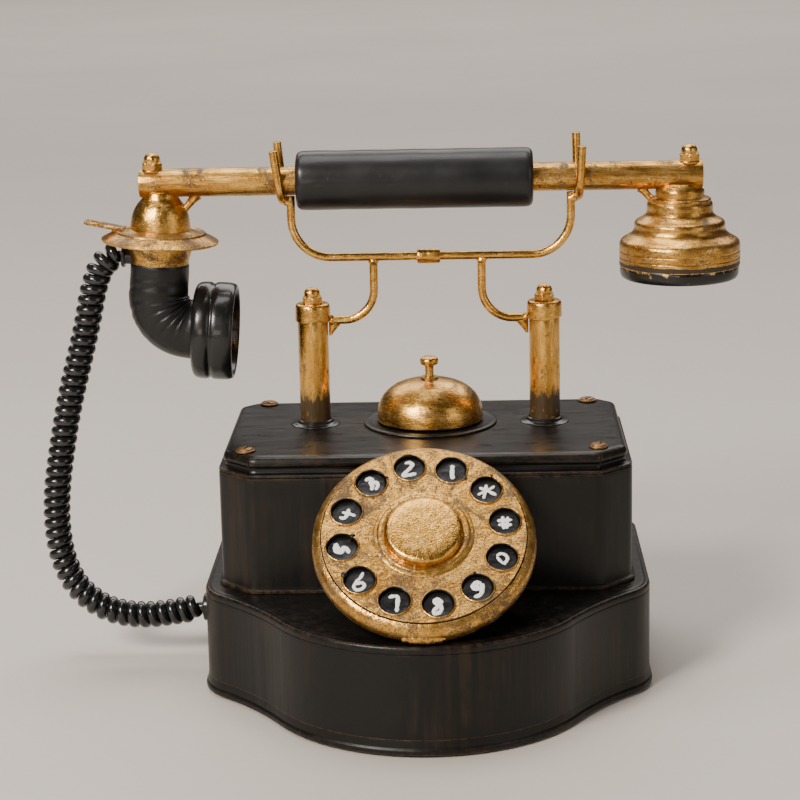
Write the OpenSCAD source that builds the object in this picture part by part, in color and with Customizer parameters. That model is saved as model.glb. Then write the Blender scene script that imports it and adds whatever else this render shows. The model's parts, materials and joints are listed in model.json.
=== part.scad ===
// Rotary telephone with a lift-off handset, a two-post cradle, a desk bell and a tilted dial.
// Millimetres. +Z is up, +X is to the right and -Y is the front. The origin is the centre of
// the underside, on the plane that the telephone stands on.

/* [Plinth] */
// Width across the straight sides of the plinth
plinth_w = 158; // [156:1:162]
// How far the bow front reaches ahead of the origin
bow_reach = 76.3; // [75:0.1:78]
// How far the back edge lies behind the origin
plinth_back = 71; // [70:0.5:74]
// Height of the plinth's top above the table
plinth_top = 38.4; // [38:0.2:39]
// Radius of the bow front
bow_r = 58; // [52:1:60]
// Radius of the rounded shoulders beside the bow
shoulder_r = 20; // [14:1:20]
// Radius of the hollow between shoulder and bow
hollow_r = 110; // [40:5:120]

/* [Case] */
// Width of the case above the plinth
case_w = 145.6; // [144:0.2:147]
// Front wall of the case, as a Y position
case_front = -18.3; // [-18.6:0.1:-18]
// Back wall of the case, as a Y position
case_back = 68; // [67:0.5:69]
// Height at which the lid starts
case_top = 80.2; // [80:0.1:80.4]
// Height of the lid's flat top
lid_top = 87.3; // [87:0.1:87.6]
// Leg of the chamfer at the front corners
case_chamfer = 11.5; // [10:0.5:13]

/* [Posts and cradle] */
// Distance of each post from the bell
post_x = 42; // [41:0.5:43]
// Sideways offset of the bell and the posts from the middle
bell_x = 1.5; // [0:0.5:2]
// Y position of the posts, the bell and the handset
post_y = 31.5; // [31:0.5:32]
// Outer radius of the post tubes
post_r = 5.5; // [5.3:0.1:5.6]
// Height of the collars' lower edge
collar_z = 126; // [125:0.2:127]
// Radius of the cradle's round rod
rod_r = 1.5; // [1.4:0.1:1.6]
// Sideways offset of the forks from the bell
fork_shift = 1.5; // [1:0.2:3]
// X position of the sleeve that joins the cradle's two rods
sleeve_x = 2; // [1:0.5:3]
// Half of the distance between the forks
fork_half = 53; // [52:0.5:54]

/* [Handset] */
// Height of the handset's axis
handset_z = 177; // [176:0.5:178]
// Outer radius of the handset's tubes
tube_r = 5.1; // [5:0.05:5.2]
// Sideways offset of the handset from the middle
handset_shift = -0.6; // [-1:0.2:0]
// Half of the handset's length along its tubes
handset_half = 100.6; // [99:0.2:102]
// Angle by which the mouthpiece leans, in degrees
mouth_tilt = 3.6; // [0:0.2:5]
// Radius of the grip
grip_r = 10.6; // [10:0.1:11]
// Half of the grip's length
grip_half = 42.3; // [41:0.1:43]
// Sideways offset of the grip from the handset's middle
grip_shift = -2; // [-2.4:0.2:0]
// Distance of the mouthpiece and the earpiece from the handset's middle
capsule_x = 93.2; // [92.5:0.1:94]

/* [Dial] */
// Radius of the dial over its fixed bezel
bezel_r = 37.8; // [37.5:0.1:38]
// Depth of the bezel behind the dial's face
bezel_h = 8.8; // [8:0.2:9]
// Radius of the finger wheel, which turns inside the bezel
wheel_r = 34.5; // [34.4:0.1:35]
// Tilt of the dial from lying flat, in degrees
dial_tilt = 39.5; // [39:0.5:40]
// Radius of the circle through the finger holes
finger_circle_r = 27.7; // [27.5:0.1:28]
// Radius of a finger hole
finger_r = 5.3; // [5:0.1:5.4]
// Number of finger holes
finger_count = 12; // [10, 12]

/* [Bell] */
// Radius of the sphere that the gong is cut from
gong_r = 20.2; // [20:0.1:20.4]
// Height of the gong's top above the lid
gong_h = 16.3; // [16:0.1:16.6]

/* [Cord] */
// Radius over the coils of the curly cord
cord_r = 5.1; // [4.8:0.1:5.3]

/* [Hidden] */
$fn = 64;
LOTS = 300;
EPS = 0.02;
fit_gap = 0.06;

gold = "#b08a3c";
brass = "#9c7a3a";
black = "#1c1b1a";
steel = "#8d9196";
copper = "#a5552f";
cream = "#d9d2bd";

felt_t = 0.8;
plate_t = 2;
plinth_wall = 2.4;
case_wall = 1.8;
lid_plate_t = 2.4;
lid_inset = 4;
back_corner_r = 10;
shoulder_y = -5.4;
screw_r = 1.5;
case_screws = [[-62, -6.5], [62, -6.5], [-61.5, 60.5], [61.5, 60.5]];
plinth_screws = [[-68, 57], [68, 57], [-66, -4], [66, -4]];

post_wall = 1.2;
post_bottom = 78;
post_seat_t = 3;
post_top = 129;
collar_r = 6.3;
collar_h = 6.2;
rod_bottom = 65;
plunger_r = 2;
shoulder_z = 118;
nut_af = 6.6;
nut_h = 2.6;
acorn_r = 2.9;

bar_z = 149;
arm_x = 19.5;
arm_z = 125.9;
arm_bend_r = 11;
bar_bend_r = 14;
fork_gap_r = tube_r + 0.35;
fork_r = fork_gap_r + rod_r;
prong_top = 188.6;
back_prong_left = 190.6;
back_prong_right = 192.4;

dial_pos = [0, -48.9, 68.7];
dial_pocket_r = bezel_r + 0.4;
housing_r = 19.5;
neck_r = 12;
housing_z = -18;
wheel_t = 0.9;
plate_z = -wheel_t - 0.4;
cup_z = plate_z - 1.6;
shaft_r = 3;
gear_module = 0.55;
gear_teeth = 40;
pinion_teeth = 10;
gear_distance = gear_module * (gear_teeth + pinion_teeth) / 2;
gear_z = -15.6;
gear_t = 2;
spring_z = -11;
first_hole_angle = 70;

bell_floor = lid_top + 1;
gong_centre_z = lid_top + gong_h - gong_r;
gong_rim_z = lid_top + 1.4;
stem_r = 1.55;
hammer_x = bell_x + 7;
hammer_z = 91;

mouth_x = handset_shift - capsule_x;
ear_x = handset_shift + capsule_x - 0.5;
bolt_half = 96;
flange_z = 156.4;
elbow_r = 10.6;
elbow_bend_r = 12.8;
elbow_top = 147.8;
cup_axis_z = 123.9;
cup_back_x = mouth_x + elbow_bend_r;
ear_bottom = 140;
ear_band_z = 144.6;

gland_y = 26;
gland_z = 19;
gland_face_x = -84;
handset_gland_z = 150;
handset_gland_x = mouth_x - 13.8;
cord_sides = 10;
cord_rings_per_span = 5;
cord_route = [[-109.24, 31.5, 150.9], [-112.8, 31.5, 150.2], [-116.3, 31.5, 147.2],
    [-118.6, 31.5, 142.2], [-120.5, 31.4, 136],
    [-123, 31.2, 125], [-126.8, 31, 111], [-130.6, 30.6, 97], [-134.2, 30, 80],
    [-136.8, 29.4, 64], [-137.4, 29, 50], [-135.8, 28.4, 38], [-131.6, 27.8, 28],
    [-125, 27.2, 21.4], [-117, 26.8, 17.4], [-107, 26.4, 16], [-97, 26.1, 16.8],
    [gland_face_x, gland_y, gland_z]];

// ---- Points and outlines ----

function arc(c, r, a0, a1, n) =
    [for (i = [0:n]) let (a = a0 + (a1 - a0) * i / n) c + r * [cos(a), sin(a)]];

function unit(v) = v / norm(v);

function reversed(p) = [for (i = [len(p) - 1:-1:0]) p[i]];

function mirrored(p) = [for (q = p) [-q.x, q.y]];

function turn(a) = a > 180 ? a - 360 : (a < -180 ? a + 360 : a);

// A rounded corner at b, between a and c
function fillet(a, b, c, r, n = 5) =
    let (u = unit(a - b), v = unit(c - b), half = acos(u * v) / 2)
    let (o = b + unit(u + v) * r / sin(half))
    let (s = b + u * r / tan(half) - o, e = b + v * r / tan(half) - o)
    let (a0 = atan2(s.y, s.x), da = turn(atan2(e.y, e.x) - atan2(s.y, s.x)))
    arc(o, r, a0, a0 + da, n);

function rounded(p, r) =
    [for (i = [0:len(p) - 1])
        each fillet(p[(i + len(p) - 1) % len(p)], p[i], p[(i + 1) % len(p)], r[i])];

bow_centre = [0, bow_r - bow_reach];
shoulder_centre = [plinth_w / 2 - shoulder_r, shoulder_y];
// Centre of the hollow that touches both the shoulder and the bow
hollow_centre =
    let (span = shoulder_centre - bow_centre, d = norm(span))
    let (rb = bow_r + hollow_r, rs = shoulder_r + hollow_r)
    let (along = (rb * rb - rs * rs + d * d) / (2 * d), across = sqrt(rb * rb - along * along))
    bow_centre + unit(span) * along + [span.y, -span.x] / d * across;

function angle_to(a, b) = atan2(b.y - a.y, b.x - a.x);

// Half of the plinth's plan, from the middle of the bow round to the back, moved in by i
function plinth_half(i) =
    let (ab = angle_to(bow_centre, hollow_centre), as = angle_to(shoulder_centre, hollow_centre))
    concat(
        arc(bow_centre, bow_r - i, -90, ab, 14),
        arc(hollow_centre, hollow_r + i, ab + 180, as + 180, 7),
        arc(shoulder_centre, shoulder_r - i, as, 0, 7),
        arc([plinth_w / 2 - back_corner_r, plinth_back - back_corner_r], back_corner_r - i, 0, 90, 6));

module plinth_plan(i = 0) {
    right = plinth_half(i);
    polygon(concat(right, reversed(mirrored([for (k = [1:len(right) - 1]) right[k]]))));
}

module case_plan(i = 0) {
    half = case_w / 2 - i;
    leg = case_chamfer - i * (2 - sqrt(2));
    back_leg = 7 - i * (2 - sqrt(2));
    front = case_front + i;
    back = case_back - i;
    corners = [[half - leg, front], [half, front + leg], [half, back - back_leg],
        [half - back_leg, back]];
    polygon(rounded(concat(corners, reversed(mirrored(corners))), [6, 6, 4, 4, 4, 4, 6, 6]));
}

// X position of the left (-1) or the right (1) post
function post_at(s) = bell_x + s * post_x;

// X position of the left (-1) or the right (1) fork
function fork_at(s) = bell_x + fork_shift + s * fork_half;

module slab(z0, z1) {
    translate([0, 0, z0]) linear_extrude(z1 - z0) children();
}

// ---- Round bars, springs and nuts ----

module rod_x(x0, x1, y, z, r) {
    translate([x0, y, z]) rotate([0, 90, 0]) cylinder(h = x1 - x0, r = r);
}

module rod_y(y0, y1, x, z, r) {
    translate([x, y0, z]) rotate([-90, 0, 0]) cylinder(h = y1 - y0, r = r);
}

module rod_z(z0, z1, x, y, r) {
    translate([x, y, z0]) cylinder(h = z1 - z0, r = r);
}

// A quarter bend in the XZ plane about (x, z), from angle a0 to a0 + 90
module bend_xz(x, y, z, bend_r, r, a0) {
    translate([x, y, z])
        rotate([90, 0, 0])
            rotate([0, 0, a0])
                rotate_extrude(angle = 90) translate([bend_r, 0]) circle(r = r);
}

// A tube swept through rings of points
module sweep(rings) {
    n = len(rings);
    m = len(rings[0]);
    polyhedron(
        points = [for (r = rings) each r],
        faces = concat(
            [[for (k = [0:m - 1]) k]],
            [for (i = [0:n - 2]) for (k = [0:m - 1])
                [i * m + k, (i + 1) * m + k, (i + 1) * m + (k + 1) % m, i * m + (k + 1) % m]],
            [[for (k = [m - 1:-1:0]) (n - 1) * m + k]]));
}

module coil_spring(x, y, z0, z1, r, wire, turns) {
    steps = turns * 10;
    rings = [for (i = [0:steps])
        let (a = 36 * i, z = z0 + wire + (z1 - z0 - 2 * wire) * i / steps)
        [for (k = [0:5]) let (b = 60 * k)
            [x + (r + wire * cos(b)) * cos(a), y + (r + wire * cos(b)) * sin(a), z + wire * sin(b)]]];
    sweep(rings);
}

module acorn_nut(x, y, z, bore) {
    difference() {
        union() {
            rod_hex(x, y, z);
            translate([x, y, z + nut_h - EPS]) intersection() {
                sphere(r = acorn_r + 0.3);
                cylinder(h = 5, r = acorn_r);
            }
        }
        rod_z(z - EPS, z + nut_h + 0.6, x, y, bore);
    }
}

module rod_hex(x, y, z) {
    translate([x, y, z]) cylinder(h = nut_h, r = nut_af / sqrt(3), $fn = 6);
}

// ---- Plinth ----

module felt_pad() {
    color("#2a2a28") slab(0, felt_t) plinth_plan(3);
}

module base_plate() {
    color(black) difference() {
        slab(felt_t, felt_t + plate_t) plinth_plan(plinth_wall + 0.1);
        for (p = plinth_screws) {
            rod_z(0, 5, p.x, p.y, screw_r + 0.2);
            rod_z(0, felt_t + 1.2, p.x, p.y, 3);
        }
    }
}

module plate_screws() {
    color(steel) for (p = plinth_screws) {
        rod_z(felt_t + 0.1, felt_t + 1.1, p.x, p.y, 2.8);
        rod_z(felt_t + 1, 16, p.x, p.y, screw_r - fit_gap);
    }
}

module plinth_shell() {
    color(black) difference() {
        union() {
            difference() {
                slab(felt_t, plinth_top) plinth_plan(0);
                slab(0, plinth_top - plinth_wall) plinth_plan(plinth_wall);
            }
            for (p = plinth_screws) {
                rod_z(felt_t + plate_t, plinth_top - 1, p.x, p.y, 4);
            }
        }
        for (p = plinth_screws) {
            rod_z(0, 18, p.x, p.y, screw_r);
        }
        rod_x(-LOTS, 0, gland_y, gland_z, 4.55);
        rod_z(0, LOTS, 0, 10, 6);
    }
}

module plinth_band() {
    color(black) difference() {
        slab(felt_t, felt_t + 5.4) plinth_plan(-0.9);
        slab(0, LOTS) plinth_plan(0);
    }
}

// ---- Case and lid ----

module case_shell() {
    color(black) difference() {
        union() {
            difference() {
                union() {
                    slab(plinth_top, case_top) case_plan(0);
                    slab(plinth_top, plinth_top + 1.8) case_plan(-1.1);
                }
                slab(0, LOTS) case_plan(case_wall);
            }
            intersection() {
                slab(plinth_top + 20, case_top) case_plan(0.5);
                for (p = case_screws) {
                    translate([p.x > 0 ? p.x - 5 : p.x - 20, p.y > 20 ? p.y - 5 : p.y - 20, 0])
                        cube([25, 25, LOTS]);
                }
            }
        }
        for (p = case_screws) {
            rod_z(68, LOTS, p.x, p.y, screw_r + fit_gap);
        }
        dial_pocket();
        dial_neck_space();
    }
}

module lid() {
    color(black) difference() {
        union() {
            slab(case_top, case_top + 1.2) case_plan(0);
            slab(case_top + 1.2 - EPS, 84) case_plan(2.4);
            slab(84 - EPS, 86) case_plan(1.8);
            slab(86 - EPS, lid_top) case_plan(3);
        }
        difference() {
            slab(0, lid_top - lid_plate_t) case_plan(lid_inset);
            for (p = case_screws) {
                rod_z(0, LOTS, p.x, p.y, 4.5);
            }
        }
        for (p = case_screws) {
            rod_z(0, LOTS, p.x, p.y, screw_r + fit_gap);
        }
        for (s = [-1, 1]) {
            rod_z(0, LOTS, post_at(s), post_y, post_r + fit_gap);
        }
        rod_z(0, LOTS, bell_x, post_y, 2.2);
        dial_pocket();
    }
}

module lid_screws() {
    color(brass) for (p = case_screws) {
        difference() {
            union() {
                rod_z(70, lid_top + 0.5, p.x, p.y, screw_r);
                rod_z(lid_top, lid_top + 0.7, p.x, p.y, 3.3);
                rod_z(lid_top + 0.6, lid_top + 1.2, p.x, p.y, 2.7);
            }
            translate([p.x - 4, p.y - 0.4, lid_top + 0.7]) cube([8, 0.8, 2]);
        }
    }
}

// ---- Posts ----

module post_tubes() {
    color(gold) for (s = [-1, 1]) {
        difference() {
            rod_z(post_bottom, post_top, post_at(s), post_y, post_r);
            rod_z(post_bottom + post_seat_t, LOTS, post_at(s), post_y, post_r - post_wall);
            rod_z(0, LOTS, post_at(s), post_y, plunger_r + fit_gap);
        }
    }
}

module post_washers() {
    color(black) for (s = [-1, 1]) {
        difference() {
            union() {
                rod_z(lid_top, lid_top + 0.9, post_at(s), post_y, 8.6);
                rod_z(lid_top + 0.8, lid_top + 1.8, post_at(s), post_y, 7);
            }
            rod_z(0, LOTS, post_at(s), post_y, post_r + EPS);
        }
    }
}

module post_springs() {
    color(steel) for (s = [-1, 1]) {
        coil_spring(post_at(s), post_y, post_bottom + post_seat_t + 0.1, shoulder_z - 0.1, 3.1, 0.45, 9);
    }
}

// ---- Hook switch inside the case ----

lever_pivot = [0, 52, 63.4];

module lever_bracket() {
    color(steel) difference() {
        union() {
            translate([-16, 44, plinth_top]) cube([32, 18, 1.6]);
            for (s = [-1, 1]) {
                translate([s * 13.5 - 1, 48, plinth_top]) cube([2, 8, lever_pivot.z - plinth_top]);
                rod_x(s * 13.5 - 1, s * 13.5 + 1, lever_pivot.y, lever_pivot.z, 4);
            }
        }
        rod_x(-LOTS, LOTS, lever_pivot.y, lever_pivot.z, 1.5 + EPS);
    }
}

module lever_pin() {
    color(steel) rod_x(-16, 16, lever_pivot.y, lever_pivot.z, 1.5);
}

module hook_lever() {
    color(brass) difference() {
        union() {
            rod_x(-11.5, 11.5, lever_pivot.y, lever_pivot.z, 3.2);
            translate([-8, 33, lever_pivot.z - 1]) cube([16, 17, 2]);
            translate([-46, 28.5, lever_pivot.z - 1]) cube([92, 6, 2]);
        }
        rod_x(-LOTS, LOTS, lever_pivot.y, lever_pivot.z, 1.5 + fit_gap);
    }
}

module hook_contacts() {
    color(brass) {
        translate([18, 42, plinth_top]) cube([10, 12, 18]);
        for (k = [0:2]) {
            translate([19 + k * 3, 24, plinth_top + 11 + k * 2]) cube([2, 20, 0.5]);
        }
    }
}

// ---- Electrical pieces ----

module ringer_coils() {
    color(copper) {
        translate([-24, 2, plinth_top]) cube([48, 14, 2]);
        for (s = [-1, 1]) {
            rod_z(plinth_top + 1.9, 66, s * 13, 9, 3);
            rod_z(plinth_top + 1.9, plinth_top + 3.5, s * 13, 9, 9);
            rod_z(plinth_top + 3.4, 61, s * 13, 9, 7.6);
            rod_z(61 - EPS, 62.5, s * 13, 9, 9);
        }
    }
}

module capacitor() {
    color(steel) {
        rod_x(-58, -28, 50, plinth_top + 8, 7);
        translate([-48, 42, plinth_top]) cube([10, 16, 3]);
    }
}

module induction_coil() {
    color(copper) {
        translate([38, -6, plinth_top]) cube([22, 26, 4]);
        rod_y(-4, 18, 49, plinth_top + 12, 8.4);
        rod_y(-8, 22, 49, plinth_top + 12, 3.4);
    }
}

module terminal_board() {
    board_z = felt_t + plate_t;
    color(cream) {
        translate([-26, 20, board_z]) cube([52, 22, 3]);
        for (k = [-2:2]) {
            rod_z(board_z + 2.9, board_z + 6, k * 10, 31, 2.4);
        }
    }
}

// ---- Bell ----

module bell_base() {
    ear = 2;
    color(black) difference() {
        union() {
            rod_z(lid_top, bell_floor, bell_x, post_y, 24.2);
            rod_z(bell_floor - EPS, bell_floor + 1.2, bell_x, post_y, 4.8);
            for (s = [-1, 1]) {
                translate([hammer_x - 2, post_y + s * 3.4 - ear / 2, bell_floor - EPS])
                    cube([4, ear, hammer_z - bell_floor + 1.6]);
            }
            rod_y(post_y - 4, post_y + 4, hammer_x, hammer_z, 0.8);
        }
        rod_z(0, LOTS, bell_x, post_y, 2.2);
    }
}

module bell_gong() {
    color(gold) translate([bell_x, post_y, 0]) difference() {
        translate([0, 0, gong_centre_z]) sphere(r = gong_r);
        translate([0, 0, gong_centre_z]) sphere(r = gong_r - 1.2);
        translate([-LOTS / 2, -LOTS / 2, gong_rim_z - LOTS]) cube(LOTS);
        cylinder(h = LOTS, r = 2.65);
    }
}

module bell_bush() {
    top = lid_top + gong_h;
    color(brass) translate([bell_x, post_y, 0]) difference() {
        union() {
            translate([0, 0, bell_floor + 1.2]) cylinder(h = 12.4, r = 4);
            translate([0, 0, bell_floor + 13]) cylinder(h = top + 0.8 - bell_floor - 13, r = 2.6);
            translate([0, 0, top - 0.15]) cylinder(h = 1, r = 3.2);
        }
        translate([0, 0, bell_floor + 2.4]) cylinder(h = 8.8, r = 3.1);
        cylinder(h = LOTS, r = stem_r + fit_gap);
    }
}

module bell_spring() {
    color(steel) coil_spring(bell_x, post_y, bell_floor + 2.5, bell_floor + 8.9, 2.35, 0.3, 5);
}

module bell_plunger() {
    color(gold) translate([bell_x, post_y, 0]) {
        translate([0, 0, bell_floor - 0.4]) cylinder(h = 22, r = stem_r);
        translate([0, 0, bell_floor + 9]) cylinder(h = 1.2, r = 2.9);
        translate([0, 0, lid_top + 21.6]) rotate_extrude()
            polygon([[0, 0], [2.6, 0], [3.3, 0.6], [3.3, 1.5], [2.7, 2.4], [1.6, 2.9], [0, 3.1]]);
    }
}

module bell_hammer() {
    color(steel) translate([0, post_y, 0]) difference() {
        union() {
            rod_y(-2, 2, hammer_x, hammer_z, 1.9);
            rod_x(hammer_x + 1, hammer_x + 6, 0, hammer_z + 0.2, 0.8);
            translate([hammer_x + 6.2, 0, hammer_z + 0.4]) sphere(r = 1.7);
        }
        rod_y(-5, 5, hammer_x, hammer_z, 0.8 + fit_gap);
    }
}

// ---- Dial, drawn flat with its face at Z = 0 and then tilted ----

module dial_place() {
    translate(dial_pos) rotate([dial_tilt, 0, 0]) children();
}

// Space that the bezel needs in the case and the lid
module dial_pocket() {
    dial_place() translate([0, 0, -bezel_h - 0.3]) cylinder(h = 40, r = dial_pocket_r);
}

// Space that the neck needs in the bead round the case's foot
module dial_neck_space() {
    intersection() {
        dial_place() translate([0, 0, -60]) cylinder(h = 60, r = neck_r + 0.5);
        translate([-LOTS / 2, case_front - LOTS, 0]) cube(LOTS);
    }
}

module finger_holes(r, z0, z1) {
    for (k = [0:finger_count - 1]) {
        rotate([0, 0, first_hole_angle + k * 360 / finger_count])
            translate([finger_circle_r, 0, z0]) cylinder(h = z1 - z0, r = r);
    }
}

module finger_wheel() {
    color(gold) dial_place() difference() {
        union() {
            translate([0, 0, -wheel_t]) cylinder(h = 0.6, r = wheel_r);
            translate([0, 0, -0.5]) cylinder(h = 0.5, r = wheel_r - 0.6);
            translate([0, 0, -EPS]) cylinder(h = 0.9 + EPS, r = 16.4);
            finger_holes(finger_r + 0.8, -EPS, 0.5);
        }
        finger_holes(finger_r, -5, 5);
        translate([0, 0, -5]) cylinder(h = 10, r = shaft_r);
    }
}

module dial_bezel() {
    r0 = wheel_r + 0.35;
    roll = 4.2;
    step_r = wheel_r - 1.2;
    face = arc([bezel_r - roll, -roll - 0.4], roll, 72, 0, 8);
    color(gold) {
        dial_place() rotate_extrude()
            polygon(concat(face, [[bezel_r, -7], [bezel_r - 0.5, -8.2], [bezel_r - 1.3, -bezel_h],
                [step_r, -bezel_h], [step_r, cup_z], [r0, cup_z]]));
        rod_x(-6, 6, -73.4, plinth_top + 2.5, 2.5);
    }
}

module dial_cap() {
    color(gold) dial_place() translate([0, 0, 0.9]) rotate_extrude()
        polygon([[0, 0], [13.3, 0], [13.3, 1.2], [12.8, 2], [11.8, 2.5], [6, 2.8], [0, 2.9]]);
}

module dial_shaft() {
    color(steel) dial_place() translate([0, 0, housing_z - 0.5])
        cylinder(h = 0.9 - housing_z + 0.5, r = shaft_r);
}

module number_plate() {
    color(black) dial_place() difference() {
        translate([0, 0, cup_z]) cylinder(h = plate_z - cup_z, r = wheel_r + 0.33);
        translate([0, 0, -9]) cylinder(h = 9, r = shaft_r + 0.5);
        translate([0, gear_distance, cup_z - 0.1]) cylinder(h = 0.9, r = 1 + fit_gap);
    }
}

module dial_housing() {
    floor_t = 2;
    color(black) difference() {
        union() {
            dial_place() difference() {
                union() {
                    translate([0, 0, housing_z]) cylinder(h = cup_z - housing_z, r = housing_r);
                    translate([0, 0, -bezel_h]) cylinder(h = cup_z + bezel_h, r = wheel_r - 1.2);
                }
                translate([0, 0, housing_z + floor_t]) cylinder(h = 20, r = housing_r - 1.5);
            }
            intersection() {
                dial_place() translate([0, 0, -60]) cylinder(h = 60 + housing_z + 0.5, r = neck_r);
                translate([-LOTS / 2, case_front - LOTS, plinth_top]) cube(LOTS);
            }
        }
        dial_place() translate([0, 0, housing_z - 1]) cylinder(h = 20, r = shaft_r + fit_gap);
        dial_place() translate([0, gear_distance, housing_z + 1]) cylinder(h = 20, r = 1 + fit_gap);
    }
}

module dial_spring() {
    steps = 96;
    r0 = 3.9;
    r1 = 9.4;
    strip = 0.45;
    turns = 5;
    inner = [for (i = [0:steps]) let (a = 360 * turns * i / steps, r = r0 + (r1 - r0) * i / steps)
        r * [cos(a), sin(a)]];
    outer = [for (i = [0:steps]) let (a = 360 * turns * i / steps, r = r0 + (r1 - r0) * i / steps)
        (r + strip) * [cos(a), sin(a)]];
    color(steel) dial_place() slab(spring_z, spring_z + 3) polygon(concat(inner, reversed(outer)));
}

// A plain toothed wheel; the teeth are thinner than the gaps, so that a pair runs freely
module toothed(teeth, tooth_offset) {
    pitch = gear_module * teeth / 2;
    tip = pitch + 0.8 * gear_module;
    root = pitch - 1.1 * gear_module;
    step = 360 / teeth;
    profile = [[-0.26, root], [-0.12, tip], [0.12, tip], [0.26, root]];
    polygon([for (k = [0:teeth - 1]) each [for (q = profile)
        let (a = 90 + (k + tooth_offset + q[0]) * step) q[1] * [cos(a), sin(a)]]]);
}

module drive_gear() {
    color(brass) dial_place() difference() {
        slab(gear_z, gear_z + gear_t) toothed(gear_teeth, 0);
        translate([0, 0, -30]) cylinder(h = 30, r = shaft_r);
    }
}

module governor() {
    color(steel) dial_place() translate([0, gear_distance, 0]) {
        translate([0, 0, housing_z + 1.1]) cylinder(h = cup_z + 0.5 - housing_z - 1.1, r = 1);
        slab(gear_z, gear_z + gear_t) toothed(pinion_teeth, 0.5);
        slab(spring_z, spring_z + 3) difference() {
            circle(r = 3.4);
            for (s = [-1, 1]) {
                translate([s * 3.6, 0]) circle(r = 1.6);
            }
        }
    }
}

// ---- Cradle, which rises on the posts ----

module collars() {
    color(gold) for (s = [-1, 1]) {
        difference() {
            union() {
                rod_z(collar_z, collar_z + collar_h - 0.7, post_at(s), post_y, collar_r);
                rod_z(collar_z, collar_z + collar_h, post_at(s), post_y, collar_r - 0.8);
            }
            rod_z(collar_z - 1, post_top + 1.4, post_at(s), post_y, post_r + fit_gap);
            rod_z(0, LOTS, post_at(s), post_y, 1.5);
        }
    }
}

module post_nuts() {
    color(gold) for (s = [-1, 1]) {
        acorn_nut(post_at(s), post_y, collar_z + collar_h, 1.5);
    }
}

module plunger_rods() {
    color(steel) for (s = [-1, 1]) {
        rod_z(rod_bottom, collar_z + collar_h - 2, post_at(s), post_y, plunger_r);
        rod_z(shoulder_z, shoulder_z + 1.5, post_at(s), post_y, 4);
        rod_z(collar_z, collar_z + collar_h + nut_h, post_at(s), post_y, 1.5);
    }
}

module drop_arm(s) {
    top_x = bell_x + s * arm_x;
    bend_x = top_x + s * arm_bend_r;
    end_x = post_at(s) - s * (collar_r - 0.1);
    gusset = [[0, 0], [5, 0.6], [0, -5]];
    color(gold) difference() {
        union() {
            rod_z(arm_z + arm_bend_r, bar_z - 0.4, top_x, post_y, rod_r);
            bend_xz(bend_x, post_y, arm_z + arm_bend_r, arm_bend_r, rod_r, s > 0 ? 180 : 270);
            rod_x(min(bend_x, end_x), max(bend_x, end_x), post_y, arm_z, rod_r);
            translate([post_at(s) - s * (post_r + 0.6), post_y + 0.7, arm_z - 0.8])
                rotate([90, 0, 0]) linear_extrude(1.4) polygon([for (q = gusset) [-s * q.x, q.y]]);
        }
        rod_z(0, LOTS, post_at(s), post_y, collar_r);
        rod_x(-LOTS, LOTS, post_y, bar_z, rod_r);
    }
}

module cradle_rod(s) {
    fork_x = fork_at(s);
    upright_x = fork_x - s * (2 * rod_r - 0.2);
    bend_x = upright_x - s * bar_bend_r;
    color(gold) difference() {
        union() {
            rod_x(min(sleeve_x, bend_x), max(sleeve_x, bend_x), post_y, bar_z, rod_r);
            bend_xz(bend_x, post_y, bar_z + bar_bend_r, bar_bend_r, rod_r, s > 0 ? 270 : 180);
            rod_z(bar_z + bar_bend_r, handset_z - fork_r + 1.3, upright_x, post_y, rod_r);
            rod_x(min(upright_x, fork_x), max(upright_x, fork_x), post_y, handset_z - fork_r, 1);
        }
        fork_space(fork_x);
        rod_x(-LOTS, LOTS, post_y, handset_z, fork_gap_r);
    }
}

// The round rod of a fork, a little oversize, which is taken out of what is welded to it
module fork_space(x) {
    translate([x, post_y, handset_z]) rotate([0, 90, 0])
        rotate_extrude() translate([fork_r, 0]) circle(r = rod_r);
}

module cradle_sleeve() {
    color(gold) difference() {
        rod_x(sleeve_x - 4.2, sleeve_x + 4.2, post_y, bar_z, 2.6);
        rod_x(-LOTS, LOTS, post_y, bar_z, rod_r);
    }
}

module fork(s) {
    x = fork_at(s);
    color(gold) {
        translate([x, post_y, handset_z]) rotate([0, 90, 0]) rotate([0, 0, -90])
            rotate_extrude(angle = 180) translate([fork_r, 0]) circle(r = rod_r);
        for (side = [-1, 1]) {
            top = side < 0 ? prong_top : s < 0 ? back_prong_left : back_prong_right;
            rod_z(handset_z, top - rod_r, x, post_y + side * fork_r, rod_r);
            translate([x, post_y + side * fork_r, top - rod_r]) sphere(r = rod_r);
        }
    }
}

// ---- Handset ----

module handset_tube(s) {
    outer = handset_shift + s * handset_half;
    inner = handset_shift + s * 8;
    color(gold) difference() {
        rod_x(min(inner, outer), max(inner, outer), post_y, handset_z, tube_r);
        rod_x(min(inner - s, outer - s * 1.5), max(inner - s, outer - s * 1.5), post_y, handset_z, 3.9);
        rod_z(0, LOTS, handset_shift + s * bolt_half, post_y, screw_r + fit_gap);
    }
}

module grip() {
    color(black) translate([handset_shift + grip_shift, post_y, handset_z]) rotate([0, 90, 0])
        difference() {
        union() {
            translate([0, 0, -grip_half]) cylinder(h = 2 * grip_half, r = grip_r - 0.8);
            translate([0, 0, 0.8 - grip_half]) cylinder(h = 2 * grip_half - 1.6, r = grip_r);
        }
        translate([0, 0, -LOTS / 2]) cylinder(h = LOTS, r = tube_r);
    }
}

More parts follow.
